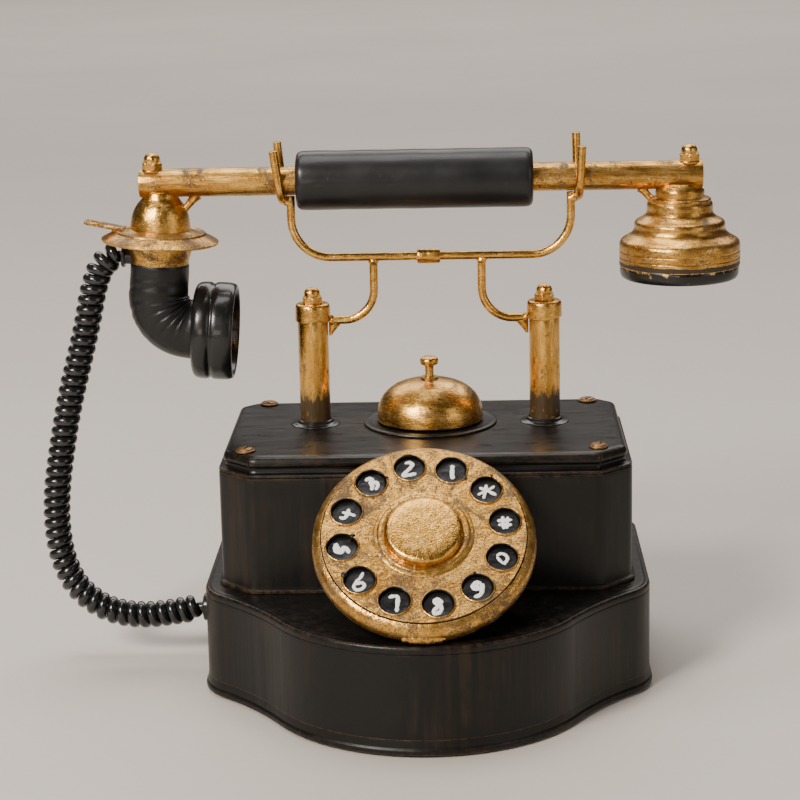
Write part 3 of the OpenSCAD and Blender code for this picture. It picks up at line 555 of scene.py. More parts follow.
def felt_look():
    s = Look("felt_fibre", Roughness=0.95, Sheen_Weight=0.3, Sheen_Roughness=0.6)
    fibre = s.noise(900, 5, 0.75, 2.0)
    s.color(s.mix(s.span(fibre, 0.35, 0.7), (0.010, 0.010, 0.0095), (0.036, 0.036, 0.034)))
    s.normal(s.bump(fibre, 0.6, 0.0008))
    return s.mat


def board_look():
    s = Look("insulating_board", Roughness=0.7)
    fibre = s.noise(260, 5, 0.7, 0.8, s.stretch((1, 0.15, 1)))
    s.color(s.mix(s.span(fibre, 0.3, 0.7), (0.36, 0.27, 0.15), (0.55, 0.45, 0.29)))
    s.normal(s.bump(fibre, 0.2, 0.0004))
    return s.mat


def digit_look():
    s = Look("digit_paint", Coat_Weight=0.3, Coat_Roughness=0.3)
    thin = s.noise(1100, 4, 0.7, 0.6)
    s.color(s.mix(s.span(thin, 0.58, 0.74), (0.86, 0.86, 0.85), (0.42, 0.42, 0.42)))
    s.rough(s.span(thin, 0.3, 0.7, 0.32, 0.5))
    s.normal(s.bump(thin, 0.4, 0.0006))
    return s.mat


def floor_look():
    s = Look("floor_paper", Roughness=0.62)
    tone = s.noise(3.0, 3, 0.5)
    s.color(s.mix(s.span(tone, 0.3, 0.7), (0.54, 0.50, 0.455), (0.58, 0.54, 0.49)))
    s.normal(s.bump(s.noise(900, 3), 0.05, 0.0004))
    return s.mat


GOLD = gold_look("gold_brushed", 0.12, streaks=0.15)
GOLD_POST = gold_look("gold_post", 0.08, (1, 1, 0.18), LID_TOP + 17, streaks=0.12)
GOLD_DIAL = gold_look("gold_dial", 0.85, (0.8, 0.8, 0.8), streaks=0.25)
GOLD_ROD = gold_look("gold_rod", 0.12, (0.3, 1, 1), streaks=0.12)
GOLD_TUBE = gold_look("gold_tube", 0.6, (0.14, 1, 1), streaks=0.75)
GOLD_BELL = gold_look("gold_bell", 0.45, (0.3, 0.3, 1), streaks=0.5)
GOLD_CAP = gold_look("gold_cap", 0.15, (1, 0.5, 0.5), streaks=0.25)
GOLD_RIM = gold_look("gold_rim", 0.95, (0.7, 0.7, 1), streaks=0.4)
GOLD_EAR = gold_look("gold_ear", 0.6, (0.25, 0.25, 1), band=146.4, streaks=0.4)
BLACK = black_look("black_case", 0.75)
BLACK_LID = black_look("black_lid", 0.55, (0.25, 1, 1), (0.26, 0.42), 0.55, 0.08)
GRIP = gloss_look("grip_lacquer", 0.30, 0.12, 0.12, (0.0075, 0.0075, 0.008), 0.35)
BLACK_PART = black_look("black_fitting", 0.4, (1, 1, 0.3), (0.32, 0.5), 0.5)
GLOSS = gloss_look("black_lacquer", 0.24, 0.35)
GLOSS_HOSE = gloss_look("hose_lacquer", 0.36, 0.12, 0.5, wear=0.45)
GLOSS_EAR = gloss_look("ear_cap_lacquer", 0.26, 0.3, gilt=(144.4, 1.4))
GLOSS_DISC = gloss_look("black_disc_paint", 0.22, 0.06, 0.5, (0.003, 0.003, 0.003), 0.12)
CORD = cord_look()
SCREW = metal_look("screw_brass", (0.30, 0.17, 0.075), (0.16, 0.085, 0.035), (0.35, 0.6), 0.9)
STEEL = metal_look("steel_plain", (0.50, 0.51, 0.52), (0.34, 0.345, 0.35))
COPPER = metal_look("copper_wire", (0.45, 0.19, 0.09), (0.62, 0.30, 0.15), (0.3, 0.5), 0.7, 900, 0.4)
BRASS = metal_look("brass_plain", (0.52, 0.36, 0.14), (0.36, 0.23, 0.09))
FELT = felt_look()
BOARD = board_look()
DIGIT = digit_look()

INNER = {
    "felt_pad": FELT, "base_plate": BLACK_PART, "plate_screws": STEEL, "post_springs": STEEL,
    "lever_bracket": STEEL, "lever_pin": STEEL, "hook_contacts": BRASS, "ringer_coils": COPPER,
    "capacitor": STEEL, "induction_coil": COPPER, "terminal_board": BOARD,
    "dial_spring": STEEL, "plunger_rods": STEEL, "hook_lever": BRASS, "dial_shaft": STEEL,
    "drive_gear": BRASS, "governor": STEEL, "bell_hammer": STEEL, "bell_bush": BRASS,
    "receiver_capsule": STEEL,
}
OUTER = {
    "black_metal": BLACK, "gold_metal": GOLD, "brass_fastener": SCREW, "black_gloss": GLOSS,
    "cord_black": CORD, "felt": FELT, "steel": STEEL, "copper": COPPER, "board": BOARD,
}
for row in frame["record"]["subparts"]:
    look = INNER.get(row["node"]) or OUTER[row["material_slot"]]
    mesh = nodes[row["node"]].data
    mesh.materials.clear()
    mesh.materials.append(look)


# ---- Curly cord: the CAD tube's route, with the wire wound round it ----

CORD_ROUTE = [(-109.24, 31.5, 150.9), (-112.8, 31.5, 150.2), (-116.3, 31.5, 147.2), (-118.6, 31.5, 142.2),
              (-120.5, 31.4, 136),
              (-123, 31.2, 125), (-126.8, 31, 111), (-130.6, 30.6, 97), (-134.2, 30, 80),
              (-136.8, 29.4, 64), (-137.4, 29, 50), (-135.8, 28.4, 38), (-131.6, 27.8, 28),
              (-125, 27.2, 21.4), (-117, 26.8, 17.4), (-107, 26.4, 16), (-97, 26.1, 16.8),
              (-84, 26, 19)]
WIRE_R = 1.9
COIL_R = 5.1 - WIRE_R
COIL_PITCH = 3.86


def curly_cord():
    line = spaced(spline(CORD_ROUTE, 12), 0.25)
    total = 0.25 * (len(line) - 1)
    path = []
    up = Vector((0, 1, 0))
    steps = 18
    count = int(total / COIL_PITCH * steps)
    for i in range(count + 1):
        share = i / count
        at = share * (len(line) - 1)
        k = min(len(line) - 2, int(at))
        p = line[k].lerp(line[k + 1], at - k)
        along = (line[min(len(line) - 1, k + 3)] - line[max(0, k - 3)]).normalized()
        u = (up - along * up.dot(along)).normalized()
        v = along.cross(u)
        turn = 2 * PI * i / steps
        from_end = min(share, 1 - share) * total
        swell = min(1.0, max(0.0, (from_end - 0.6) / (2.4 if share < 0.5 else 4.0)))
        r = COIL_R * swell * swell * (3 - 2 * swell)
        wander = 0.10 * noise.noise(Vector((turn * 0.05, 1.7, 0.2)))
        path.append(p + (r + wander * swell) * (math.cos(turn) * u + math.sin(turn) * v))
    shape = Build().tube(path, WIRE_R, 12)
    obj = shape.object("handset_cord_coils", [CORD], 60)
    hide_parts("handset_cord")
    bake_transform(obj)
    return obj


curly_cord()


# ---- Shapes that several pieces share ----

def finish_shape(obj, angle=38.0):
    obj.data.shade_smooth()
    obj.data.set_sharp_from_angle(angle=math.radians(angle))
    return obj


def turned_band(build, plan, profile, close=False, caps=(True, True), kind=0):
    """Skins a profile of (inset, height) round a plan outline."""
    return build.rings([[Vector((x, y, z)) for x, y in plan(i)] for i, z in profile], close, caps, kind)


def hex_nut(build, at, axis, across, height, steps=84, turn=0.0):
    """A hexagonal nut with a chamfered top, hand-worn at its corners."""
    u, v, w = basis(axis)
    at = Vector(at)
    corner = across / math.sqrt(3)
    rings = []
    for h, limit in ((0, corner - 0.3), (0.15, corner - 0.08), (0.35, corner), (height * 0.6, corner),
                     (height - 0.45, corner - 0.04), (height - 0.16, corner - 0.3), (height, corner - 0.66)):
        ring = []
        for k in range(steps):
            a = 2 * PI * k / steps
            b = (a + turn) % (PI / 3) - PI / 6
            r = min(across / 2 / math.cos(b), limit - 0.06)
            ring.append(at + (math.cos(a) * u + math.sin(a) * v) * r + w * h)
        rings.append(ring)
    return build.rings(rings)


def cap_nut(build, at, axis, turn=0.0):
    """An acorn nut: hexagon, neck groove and dome."""
    hex_nut(build, at, axis, 6.7, 2.55, turn=turn)
    dome = [(2.2, 2.45), (3.0, 2.55), (3.06, 2.75), (2.84, 2.92), (2.92, 3.3), (2.9, 3.8), (2.74, 4.4),
            (2.4, 4.95),
            (1.85, 5.45), (1.2, 5.78), (0.6, 5.92), (0, 5.96)]
    return build.lathe(dome, at, axis, steps=48)


def flat_plate(outline, holes, thick, bevel, to_world, kind=0, build=None):
    """A flat plate with holes and rounded edges; outlines are closed lists of (x, y), in millimetres."""
    curve = bpy.data.curves.new("plate", "CURVE")
    curve.dimensions = "2D"
    curve.fill_mode = "BOTH"
    curve.extrude = thick / 2 - bevel
    curve.bevel_depth = bevel
    curve.bevel_resolution = 2
    curve.offset = -bevel
    for line in [outline] + holes:
        s = curve.splines.new("POLY")
        s.points.add(len(line) - 1)
        for p, q in zip(s.points, line):
            p.co = (q[0], q[1], 0, 1)
        s.use_cyclic_u = True
    obj = bpy.data.objects.new("plate", curve)
    scene.collection.objects.link(obj)
    bpy.context.view_layer.update()
    mesh = bpy.data.meshes.new_from_object(obj.evaluated_get(bpy.context.evaluated_depsgraph_get()))
    shape = bmesh.new()
    shape.from_mesh(mesh)
    bmesh.ops.remove_doubles(shape, verts=shape.verts, dist=1e-4)
    for level in (-1, 1):
        for _ in range(2):
            face = [f for f in shape.faces if all(abs(v.co.z - level * thick / 2) < 1e-4 for v in f.verts)
                    and not f.tag]
            made = bmesh.ops.inset_region(shape, faces=face, thickness=0.16, use_even_offset=True)
            for f in made["faces"]:
                f.tag = True
    build = build or Build()
    shape.verts.index_update()
    flats = [i for i, f in enumerate(shape.faces)
             if all(abs(abs(v.co.z) - thick / 2) < 1e-4 for v in f.verts)]
    build.add([to_world(v.co) for v in shape.verts], [[v.index for v in f.verts] for f in shape.faces],
              kind, flats)
    shape.free()
    bpy.data.objects.remove(obj)
    bpy.data.curves.remove(curve)
    bpy.data.meshes.remove(mesh)
    return build


def circle(r, at=(0, 0), n=72, wobble=0.0, seed=0.0):
    out = []
    for k in range(n):
        a = 2 * PI * k / n
        q = r + (wobble * noise.noise(Vector((math.cos(a) * 1.4, math.sin(a) * 1.4, seed))) if wobble else 0)
        out.append((at[0] + q * math.cos(a), at[1] + q * math.sin(a)))
    return out


def box_cutter(lo, hi, spin=None):
    lo, hi = Vector(lo), Vector(hi)
    points = [Vector((x, y, z)) for z in (lo.z, hi.z) for x, y in
              ((lo.x, lo.y), (hi.x, lo.y), (hi.x, hi.y), (lo.x, hi.y))]
    if spin:
        mid = (lo + hi) / 2
        points = [mid + spin @ (p - mid) for p in points]
    return Build().add(points, [(3, 2, 1, 0), (4, 5, 6, 7), (0, 1, 5, 4), (1, 2, 6, 5), (2, 3, 7, 6),
                                (3, 0, 4, 7)])


# ---- Plinth, case and lid ----

def arc2(c, r, a0, a1, n):
    return [(c[0] + r * math.cos(a0 + (a1 - a0) * k / n), c[1] + r * math.sin(a0 + (a1 - a0) * k / n))
            for k in range(n + 1)]


BOW = Vector((0, 58 - 76.3))
SHOULDER = Vector((59, -5.4))


def hollow_centre():
    span = SHOULDER - BOW
    d = span.length
    rb, rs = 58 + 110, 20 + 110
    along = (rb * rb - rs * rs + d * d) / (2 * d)
    across = math.sqrt(rb * rb - along * along)
    return BOW + span / d * along + Vector((span.y, -span.x)) / d * across


HOLLOW = hollow_centre()


def plinth_plan(i):
    ab = math.atan2(HOLLOW.y - BOW.y, HOLLOW.x - BOW.x)
    a_s = math.atan2(HOLLOW.y - SHOULDER.y, HOLLOW.x - SHOULDER.x)
    right = (arc2(BOW, 58 - i, -PI / 2, ab, 30)
             + arc2(HOLLOW, 110 + i, ab + PI, a_s + PI, 9)[1:]
             + arc2(SHOULDER, 20 - i, a_s, 0, 12)[1:]
             + arc2((69, 61), max(10 - i, 0.5), 0, PI / 2, 12))
    return right + [(-x, y) for x, y in reversed(right[1:])]


def fillet(a, b, c, r, n):
    a, b, c = Vector(a), Vector(b), Vector(c)
    u, v = (a - b).normalized(), (c - b).normalized()
    half = math.acos(max(-1, min(1, u.dot(v)))) / 2
    o = b + (u + v).normalized() * r / math.sin(half)
    s, e = b + u * r / math.tan(half) - o, b + v * r / math.tan(half) - o
    a0 = math.atan2(s.y, s.x)
    turn = (math.atan2(e.y, e.x) - a0 + PI) % (2 * PI) - PI
    return arc2(o, r, a0, a0 + turn, n)


def case_plan(i):
    half = 145.6 / 2 - i
    leg, back_leg = 11.5 - i * 0.586, 7 - i * 0.586
    front, back = -18.3 + i, 68 - i
    right = [(half - leg, front), (half, front + leg), (half, back - back_leg), (half - back_leg, back)]
    corners = right + [(-x, y) for x, y in reversed(right)]
    radii = [6, 6, 4, 4, 4, 4, 6, 6]
    out = []
    for k, (p, r) in enumerate(zip(corners, radii)):
        out += fillet(corners[k - 1], p, corners[(k + 1) % 8], max(0.6, r - i * 0.5), 6)
    return out


def dial_point(u, v, w):
    return DIAL_POS + Vector((u, 0, 0)) + v * DIAL_V + w * DIAL_N


DIAL_V = Vector((0, math.cos(DIAL_TILT), math.sin(DIAL_TILT)))
DIAL_N = Vector((0, -math.sin(DIAL_TILT), math.cos(DIAL_TILT)))
ON_DIAL = (DIAL_POS, DIAL_N, (1, 0, 0))


def dial_cutter():
    return Build().lathe([(0, -9.1), (38.2, -9.1), (38.2, 30), (0, 30)], *ON_DIAL, 160) \
        .object("cutter", [])


def plinth():
    profile = [(2.4, 36), (2.4, 20), (2.4, 0.9), (1.2, 0.85), (0.2, 0.85), (0, 1.1), (0, 6), (0, 14),
               (0, 26), (0, 34),
               (0, 35.3), (0.05, 35.55), (0.24, 35.7), (0.05, 35.85), (0, 36.1), (0.0, 37.2), (0.12, 37.75),
               (0.45, 38.2), (0.95, 38.4), (1.5, 38.4), (1.75, 38.28),
               (2.2, 38.24), (2.6, 38.36), (3.2, 38.4), (6, 38.4), (9, 38.4)]
    shell = turned_band(Build(), plinth_plan, profile).object("plinth_casing", [BLACK], 32)
    cutter = Build().lathe([(0, -90), (4.55, -90), (4.55, -60), (0, -60)], (0, 26, 19),
                           (1, 0, 0)).object("cutter", [])
    cut(shell, cutter)
    finish_shape(shell, 32)
    place(age(shell), "base", "black_metal", "plinth_shell")
    band = [(0.02, 0.85), (-0.6, 0.85), (-0.95, 1.15), (-1.05, 1.8), (-1.02, 2.4), (-0.85, 2.9),
            (-0.55, 3.15),
            (-0.42, 3.35), (-0.42, 3.7), (-0.3, 4.4), (-0.16, 5.2), (-0.06, 5.9), (0.02, 6.2)]
    foot = turned_band(Build(), plinth_plan, band, True).object("plinth_foot_band", [BLACK], 40)
    place(age(foot), "base", "black_metal", "plinth_band")


def case():
    profile = [(1.8, 80.2), (1.8, 60), (1.8, 38.45), (0.4, 38.45), (-0.7, 38.45), (-1.05, 38.6),
               (-1.12, 39.2),
               (-0.95, 39.8), (-0.45, 40.1), (0, 40.35), (0.05, 41), (0, 44), (0, 58), (0, 72), (0, 78),
               (0, 79.4),
               (0.1, 79.9), (0.4, 80.15), (0.9, 80.2)]
    shell = turned_band(Build(), case_plan, profile, True).object("case_walls", [BLACK], 34)
    cut(shell, dial_cutter())
    finish_shape(shell, 34)
    place(age(shell), "base", "black_metal", "case_shell")


def lid():
    profile = [(4.0, 84.6), (4.0, 80.3), (2.2, 80.22), (0.3, 80.22), (0.02, 80.4), (0, 80.75), (0.12, 81.1),
               (0.5, 81.3),
               (1.3, 81.4), (2.0, 81.6), (2.35, 82.1), (2.45, 82.9), (2.3, 83.5), (1.9, 83.9), (1.72, 84.4),
               (1.75, 85.1), (2.0, 85.9), (2.5, 86.6), (3.2, 87.05), (4.1, 87.27), (5.2, 87.3), (8, 87.3),
               (14, 87.3)]
    top = turned_band(Build(), case_plan, profile).object("lid_top", [BLACK_LID], 34)
    notch = Build()
    for s, y, lean in ((-61.2, -18.3, 0.05), (61.0, -18.3, -0.03)):
        n = box_cutter((s - 0.28, y - 2, 81.2), (s + 0.28, y + 3.6, 87.9), Matrix.Rotation(lean, 3, "Y"))
        notch.add(n.points, n.faces)
    bore = Build().lathe([(0, 70), (2.2, 70), (2.2, 95), (0, 95)], (BELL_X, POST_Y, 0),
                         steps=40).object("bore", [])
    cut(top, dial_cutter(), notch.object("notch", []), bore)
    finish_shape(top, 34)
    place(age(top), "base", "black_metal", "lid")


def lid_screws():
    build = Build()
    rng = random.Random(4)
    cutter = Build()
    for x, y in ((-62, -6.5), (62, -6.5), (-61.5, 60.5), (61.5, 60.5)):
        head = [(1.45, 70), (1.45, 87.2), (3.1, 87.28), (3.4, 87.5), (3.42, 87.8), (3.25, 88.02), (2.9, 88.1),
                (2.75, 88.25), (2.6, 88.5), (2.0, 88.72), (1.1, 88.82), (0, 88.84)]
        build.lathe([(0, 69.8)] + head, (x, y, 0), (rng.uniform(-0.02, 0.02), rng.uniform(-0.02, 0.02), 1),
                    steps=40, wobble=0.12, seed=x)
        spin = Matrix.Rotation(rng.uniform(0, PI), 3, "Z")
        n = box_cutter((x - 2.9, y - 0.36, 88.3), (x + 2.9, y + 0.36, 89.5), spin)
        cutter.add(n.points, n.faces)
    obj = cut(build.object("lid_screw_heads", [SCREW]), cutter.object("slots", []))
    finish_shape(obj)
    place(age(obj), "base", "brass_fastener", "lid_screws")


plinth()
case()
lid()
lid_screws()


# ---- Posts, washers and collars ----

def posts():
    tubes, washers, collars, nuts = Build(), Build(), Build(), Build()
    for n, x in enumerate(POSTS):
        at = (x, POST_Y, 0)
        tubes.lathe([(2.1, 78), (5.3, 78), (5.5, 78.4), (5.5, 84), (5.52, 90), (5.5, 100), (5.52, 112),
                     (5.5, 122),
                     (5.5, 128.6), (5.3, 129), (4.4, 129), (4.3, 128), (4.3, 81), (2.1, 81)], at, steps=72,
                     close=True,
                    wobble=0.05, seed=n * 3.1)
        washers.lathe([(5.56, 87.32), (7.0, 87.32), (8.7, 87.32), (8.9, 87.45), (8.6, 87.7), (7.7, 87.85),
                       (7.0, 87.95),
                       (6.6, 88.3), (6.3, 88.8), (6.0, 89.05), (5.7, 89.1), (5.56, 88.9)],
                      at, steps=80, close=True, wobble=0.5, seed=5 + n)
        ring = Build().lathe([(1.55, 129.2), (5.6, 129.2), (5.6, 127), (5.62, 126.0), (5.9, 125.8),
                              (6.2, 125.95), (6.34, 126.4),
                              (6.3, 127.4), (6.3, 130.4), (6.24, 131.2), (5.95, 131.9), (5.5, 132.2),
                              (4.8, 132.25),
                              (3.5, 132.2), (1.55, 132.2)], at, steps=72, close=True, wobble=0.10, seed=9 + n)
        for p in ring.points:
            if p.z < 127.2:
                p.z += 0.75 * noise.noise(Vector((p.x * 0.22, p.y * 0.22, 3.0 + n)))
        collars.add(ring.points, ring.faces)
        cap_nut(nuts, (x, POST_Y, 132.2), (0.02 * (n - 0.5), 0.01, 1), 0.35 + 0.4 * n)
    put(tubes, "post_tube_pair", GOLD_POST, "base", "gold_metal", "post_tubes")
    put(washers, "post_foot_beads", GLOSS, "base", "black_metal", "post_washers")
    put(collars, "post_collar_pair", GOLD, "cradle", "gold_metal", "collars")
    put(nuts, "post_cap_nuts", GOLD, "cradle", "gold_metal", "post_nuts", gain=2.6)


posts()


# ---- Cradle ----

def bent_bar(points, bends, n=14):
    """A path with straight runs and round bends of the given radii at the inner points."""
    p = [Vector(q) for q in points]
    out = [p[0]]
    for k in range(1, len(p) - 1):
        a, b, c = p[k - 1], p[k], p[k + 1]
        u, v = (a - b).normalized(), (c - b).normalized()
        half = math.acos(max(-1, min(1, u.dot(v)))) / 2
        r = bends[k - 1]
        o = b + (u + v).normalized() * r / math.sin(half)
        s, e = b + u * r / math.tan(half) - o, b + v * r / math.tan(half) - o
        for i in range(n + 1):
            t = i / n
            w = (s.lerp(e, t)).normalized() * r
            out.append(o + w)
    out.append(p[-1])
    return spaced(out, 0.8) + [p[-1]]


def rod_end(path, r, build, sides=20, seed=0.0, amount=0.05):
    """A bar whose ends are cut flat, with a small worn bevel."""
    def radius(t):
        d = min(t, 1 - t) * length
        return (r - 0.28 * max(0, 1 - d / 0.3)) + amount * noise.noise(Vector((t * 9, seed, 0.3)))
    ends = [path[0], path[0].lerp(path[1], 0.15), path[0].lerp(path[1], 0.4)] + list(path[1:-1]) \
        + [path[-1].lerp(path[-2], 0.4), path[-1].lerp(path[-2], 0.15), path[-1]]
    length = sum((b - a).length for a, b in zip(ends, ends[1:]))
    return build.tube(ends, radius, sides)


def cradle():
    fork_mid, half, rod = 3.0, 53.0, 1.5
    fork_r = 5.1 + 0.35 + rod
    for s, side, rear in ((-1, "left", 190.6), (1, "right", 192.4)):
        fork_x = fork_mid + s * half
        upright = fork_x - s * 2.8
        bar = Build()
        path = bent_bar([(2.0, POST_Y, BAR_Z), (upright, POST_Y, BAR_Z),
                         (upright, POST_Y, HANDSET_Z - fork_r + 1.4)],
                        [14])
        rod_end(path, rod, bar, seed=s)
        bar.tube(spaced([Vector((upright - s * 0.6, POST_Y, HANDSET_Z - fork_r - 1.2)),
                         Vector((fork_x + s * 0.2, POST_Y, HANDSET_Z - fork_r + 0.3))], 0.4),
                 lambda t: 1.55 + 0.25 * math.sin(PI * t), 16)
        put(bar, f"cradle_bar_{side}", GOLD_ROD, "cradle", "gold_metal", f"cradle_rod_{side}")

        u_shape = Build()
        lean, rear_lean = (2.4, 1.8) if s < 0 else (0.9, -0.5)
        path = []
        for k in range(41):
            t = k / 40
            if t < 0.3:
                y, z = -fork_r, 188.6 - (188.6 - HANDSET_Z) * t / 0.3
            elif t > 0.7:
                y, z = fork_r, HANDSET_Z + (rear - HANDSET_Z) * (t - 0.7) / 0.3
            else:
                a = PI * (t - 0.3) / 0.4
                y, z = -fork_r * math.cos(a), HANDSET_Z - fork_r * math.sin(a)
            rise = max(0, z - (HANDSET_Z - fork_r)) / 18
            path.append(Vector((fork_x + s * (lean if y < 0 else rear_lean) * rise, POST_Y + y, z)))
        rod_end(spaced(path, 0.7), 1.52, u_shape, seed=4 + s, amount=0.09)
        put(u_shape, f"cradle_fork_{side}", GOLD_ROD, "cradle", "gold_metal", f"fork_{side}")

        post = BELL_X + s * 42
        top = BELL_X + s * 19.5
        arm = Build()
        path = bent_bar([(top, POST_Y, BAR_Z - 0.3), (top, POST_Y, 125.9), (post - s * 6.1, POST_Y, 125.9)],
                        [11])
        rod_end(path, rod, arm, seed=7 + s)
        web = []
        for k in range(15):
            near, far = 5.8, 6.9 + 4.8 * (k / 14) ** 1.2
            mid, half_x, half_y = (near + far) / 2, (far - near) / 2, 0.75 + 0.6 * k / 14
            web.append([Vector((post - s * (mid + half_x * math.cos(a)), POST_Y + half_y * math.sin(a),
                                120.3 + 5.6 * k / 14)) for a in (2 * PI * n / 24 for n in range(24))])
        arm.rings(web if s < 0 else [ring[::-1] for ring in web])
        arm.lathe([(0, -0.1), (1.9, 0.05), (2.05, 0.5), (1.8, 1.1), (1.52, 1.5)],
                  (post - s * 6.4, POST_Y, 125.9),
                  (-s, 0, 0), steps=28, wobble=0.25, seed=s)
        arm.lathe([(1.45, -1.6), (1.75, -1.0), (1.95, -0.4), (1.7, 0.3), (0, 0.6)],
                  (top, POST_Y, BAR_Z - 1.2), steps=28,
                  wobble=0.3, seed=3 + s)
        put(arm, f"cradle_arm_{side}", GOLD_ROD, "cradle", "gold_metal", f"drop_arm_{side}")
    sleeve = Build().lathe([(1.56, -4.1), (2.3, -4.15), (2.55, -3.9), (2.62, -3.4), (2.6, -1.2),
                            (2.54, -0.8), (2.6, -0.4),
                            (2.6, 3.4), (2.5, 3.95), (2.25, 4.15), (1.56, 4.1)], (2.0, POST_Y, BAR_Z),
                            (1, 0, 0),
                           steps=48, close=True, wobble=0.12)
    put(sleeve, "cradle_joint_sleeve", GOLD, "cradle", "gold_metal", "cradle_sleeve")


cradle()


# ---- Bell ----

def bell():
    at = (BELL_X, POST_Y, 0)
    base = Build().lathe([(2.2, 87.32), (12, 87.32), (23.4, 87.32), (24.1, 87.4), (24.3, 87.75),
                          (24.1, 88.15), (23.4, 88.4),
                          (22.6, 88.35), (21.9, 88.12), (21.0, 88.1), (12, 88.15), (6, 88.2), (5.2, 88.5),
                          (4.8, 89.4),
                          (4.4, 89.55), (2.2, 89.55)], at, steps=120, close=True, wobble=0.12, seed=2)
    for s in (-1, 1):
        n = box_cutter((6.5, POST_Y + s * 3.4 - 1, 88.1), (10.5, POST_Y + s * 3.4 + 1, 92.6))
        base.add(n.points, n.faces)
    base.lathe([(0, -4), (0.8, -4), (0.8, 4), (0, 4)], (8.5, POST_Y, 91), (0, 1, 0), steps=20)
    put(base, "bell_floor_plate", BLACK_PART, "base", "black_metal", "bell_base")
    outer = [(19.15, 88.75), (19.42, 89.1), (19.4, 90.4), (19.25, 92.2), (18.85, 94.0), (18.1, 95.9),
             (16.9, 97.8),
             (15.2, 99.5), (13.1, 101.0), (10.6, 102.15), (7.8, 103.0), (5.2, 103.45), (3.4, 103.62),
             (2.7, 103.6)]
    inner = [(2.7, 102.4), (5.2, 102.2), (7.8, 101.75), (10.2, 100.95), (12.4, 99.85), (14.3, 98.5),
             (15.9, 96.9),
             (17.1, 95.0), (17.9, 93.0), (18.3, 91.0), (18.5, 89.1), (18.75, 88.75)]
    gong = Build().lathe(outer + inner, at, steps=128, close=True, wobble=0.10, seed=8)
    put(gong, "bell_gong_dome", GOLD_BELL, "base", "gold_metal", "bell_gong")
    stem = [(0, 88.0), (1.5, 88.0), (1.55, 88.2), (1.55, 97), (2.85, 97.3), (2.9, 98.4), (1.6, 98.6),
            (1.55, 99),
            (1.55, 103), (1.72, 103.9), (1.58, 105), (1.55, 107.6), (1.7, 108.4), (2.5, 108.9), (3.15, 109.2),
            (3.35, 109.7), (3.36, 110.5), (3.2, 111.0), (2.7, 111.5), (1.9, 111.82), (0.9, 111.98),
            (0, 112.0)]
    plunger = Build().lathe(stem, at, steps=56, wobble=0.07, seed=3)
    put(plunger, "bell_push_button", GOLD, "bell_button", "gold_metal", "bell_plunger")
    low, high, turns = LID_TOP + 3.5, LID_TOP + 9.9, 5
    wire = []
    for k in range(turns * 24 + 1):
        rise = min(1, max(0, (k / 24 - 0.6) / (turns - 1.2)))
        wire.append(Vector((BELL_X + 2.3 * math.cos(PI * k / 12), POST_Y + 2.3 * math.sin(PI * k / 12),
                            low + 0.35 + (high - low - 0.7) * rise)))
    coil = Build().tube(wire, 0.3, 10).object("bell_return_spring", [STEEL])
    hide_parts("bell_spring")
    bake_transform(coil)


bell()


# ---- Dial ----

GLYPHS = (
    ("1", [[(0.35, 2.9), (0.25, 0.8), (0.2, -1.0), (0.45, -2.9)]], 1.35),
    ("2", [[(-1.7, 2.5), (-0.4, 2.9), (0.9, 2.3), (0.3, 0.9), (-1.2, -0.8), (-2.2, -2.4), (-0.2, -2.1),
            (2.3, -1.5)]],
     1.15),
    ("3", [[(-2.2, 1.6), (-0.9, 2.5), (0.3, 2.0), (-0.5, 0.6), (1.6, 0.9), (2.1, -0.6), (1.2, -2.2)],
           [(0.5, 0.7), (0.0, -2.4)], [(-0.6, 0.5), (1.0, -0.9)]], 1.2),
    ("4", [[(0.7, 1.9), (0.2, 0.0), (-0.7, -1.7), (-2.0, -1.5), (-2.1, -0.9)],
           [(-1.6, 0.5), (0.4, 0.1), (3.0, -0.9)]],
     1.15),
    ("5", [[(-1.7, 2.3), (-2.3, 0.4), (-1.7, -1.0), (0.1, -1.0), (0.3, 0.5), (1.5, 0.1), (2.4, -1.7)],
           [(-1.9, 1.2), (-0.9, -0.6)]], 1.35),
    ("6", [[(1.1, 3.6), (0.4, 1.8), (-0.9, 0.2), (-1.9, -1.9), (-0.7, -3.0), (1.1, -2.4), (1.6, -0.9),
            (0.4, -0.3),
            (-1.1, -1.0)]], 1.05),
    ("7", [[(-2.1, 1.9), (-0.5, 2.4), (0.9, 2.1), (0.9, 0.2), (0.6, -3.6)]], 1.15),
    ("8", [[(0.6, 2.5), (-1.2, 1.9), (-0.6, 0.6), (0.9, -0.3), (0.8, -2.0), (-0.6, -3.1), (-1.6, -2.2),
            (-0.3, -0.6),
            (0.8, 0.9), (0.6, 2.5)], [(-1.6, 1.3), (0.4, 0.9)]], 1.2),
    ("9", [[(1.3, 2.0), (-0.4, 2.6), (-1.7, 1.1), (-0.5, 0.0), (1.3, 0.9), (1.3, 2.0), (1.6, 0.2),
            (0.8, -2.0),
            (-1.3, -2.9)], [(-0.9, 1.6), (0.5, 0.8)]], 1.25),
    ("0", [[(-1.8, 1.2), (-0.3, 2.1), (1.5, 1.2), (1.7, -0.4), (0.5, -1.5), (-0.8, -0.4), (-1.7, 1.0)],
           [(0.9, -1.0), (1.0, -2.4)]], 0.95),
    ("hash", [[(-0.8, 2.7), (-0.4, -2.5)], [(1.0, 2.5), (0.5, -2.2)], [(-2.6, 0.9), (2.6, 1.3)],
              [(-2.3, -0.6), (2.4, -0.7)]], 1.05),
    ("star", [[(0.1, 2.8), (-0.3, 0.2), (-1.0, -3.0)], [(-2.4, 1.6), (0.4, 0.3), (3.5, -1.5)],
              [(2.9, 2.1), (0.0, 0.2), (-3.0, -1.3)]], 1.0),
)
HOLES = [(27.7 * math.cos(math.radians(70 + 30 * k)),
          27.7 * math.sin(math.radians(70 + 30 * k))) for k in range(12)]


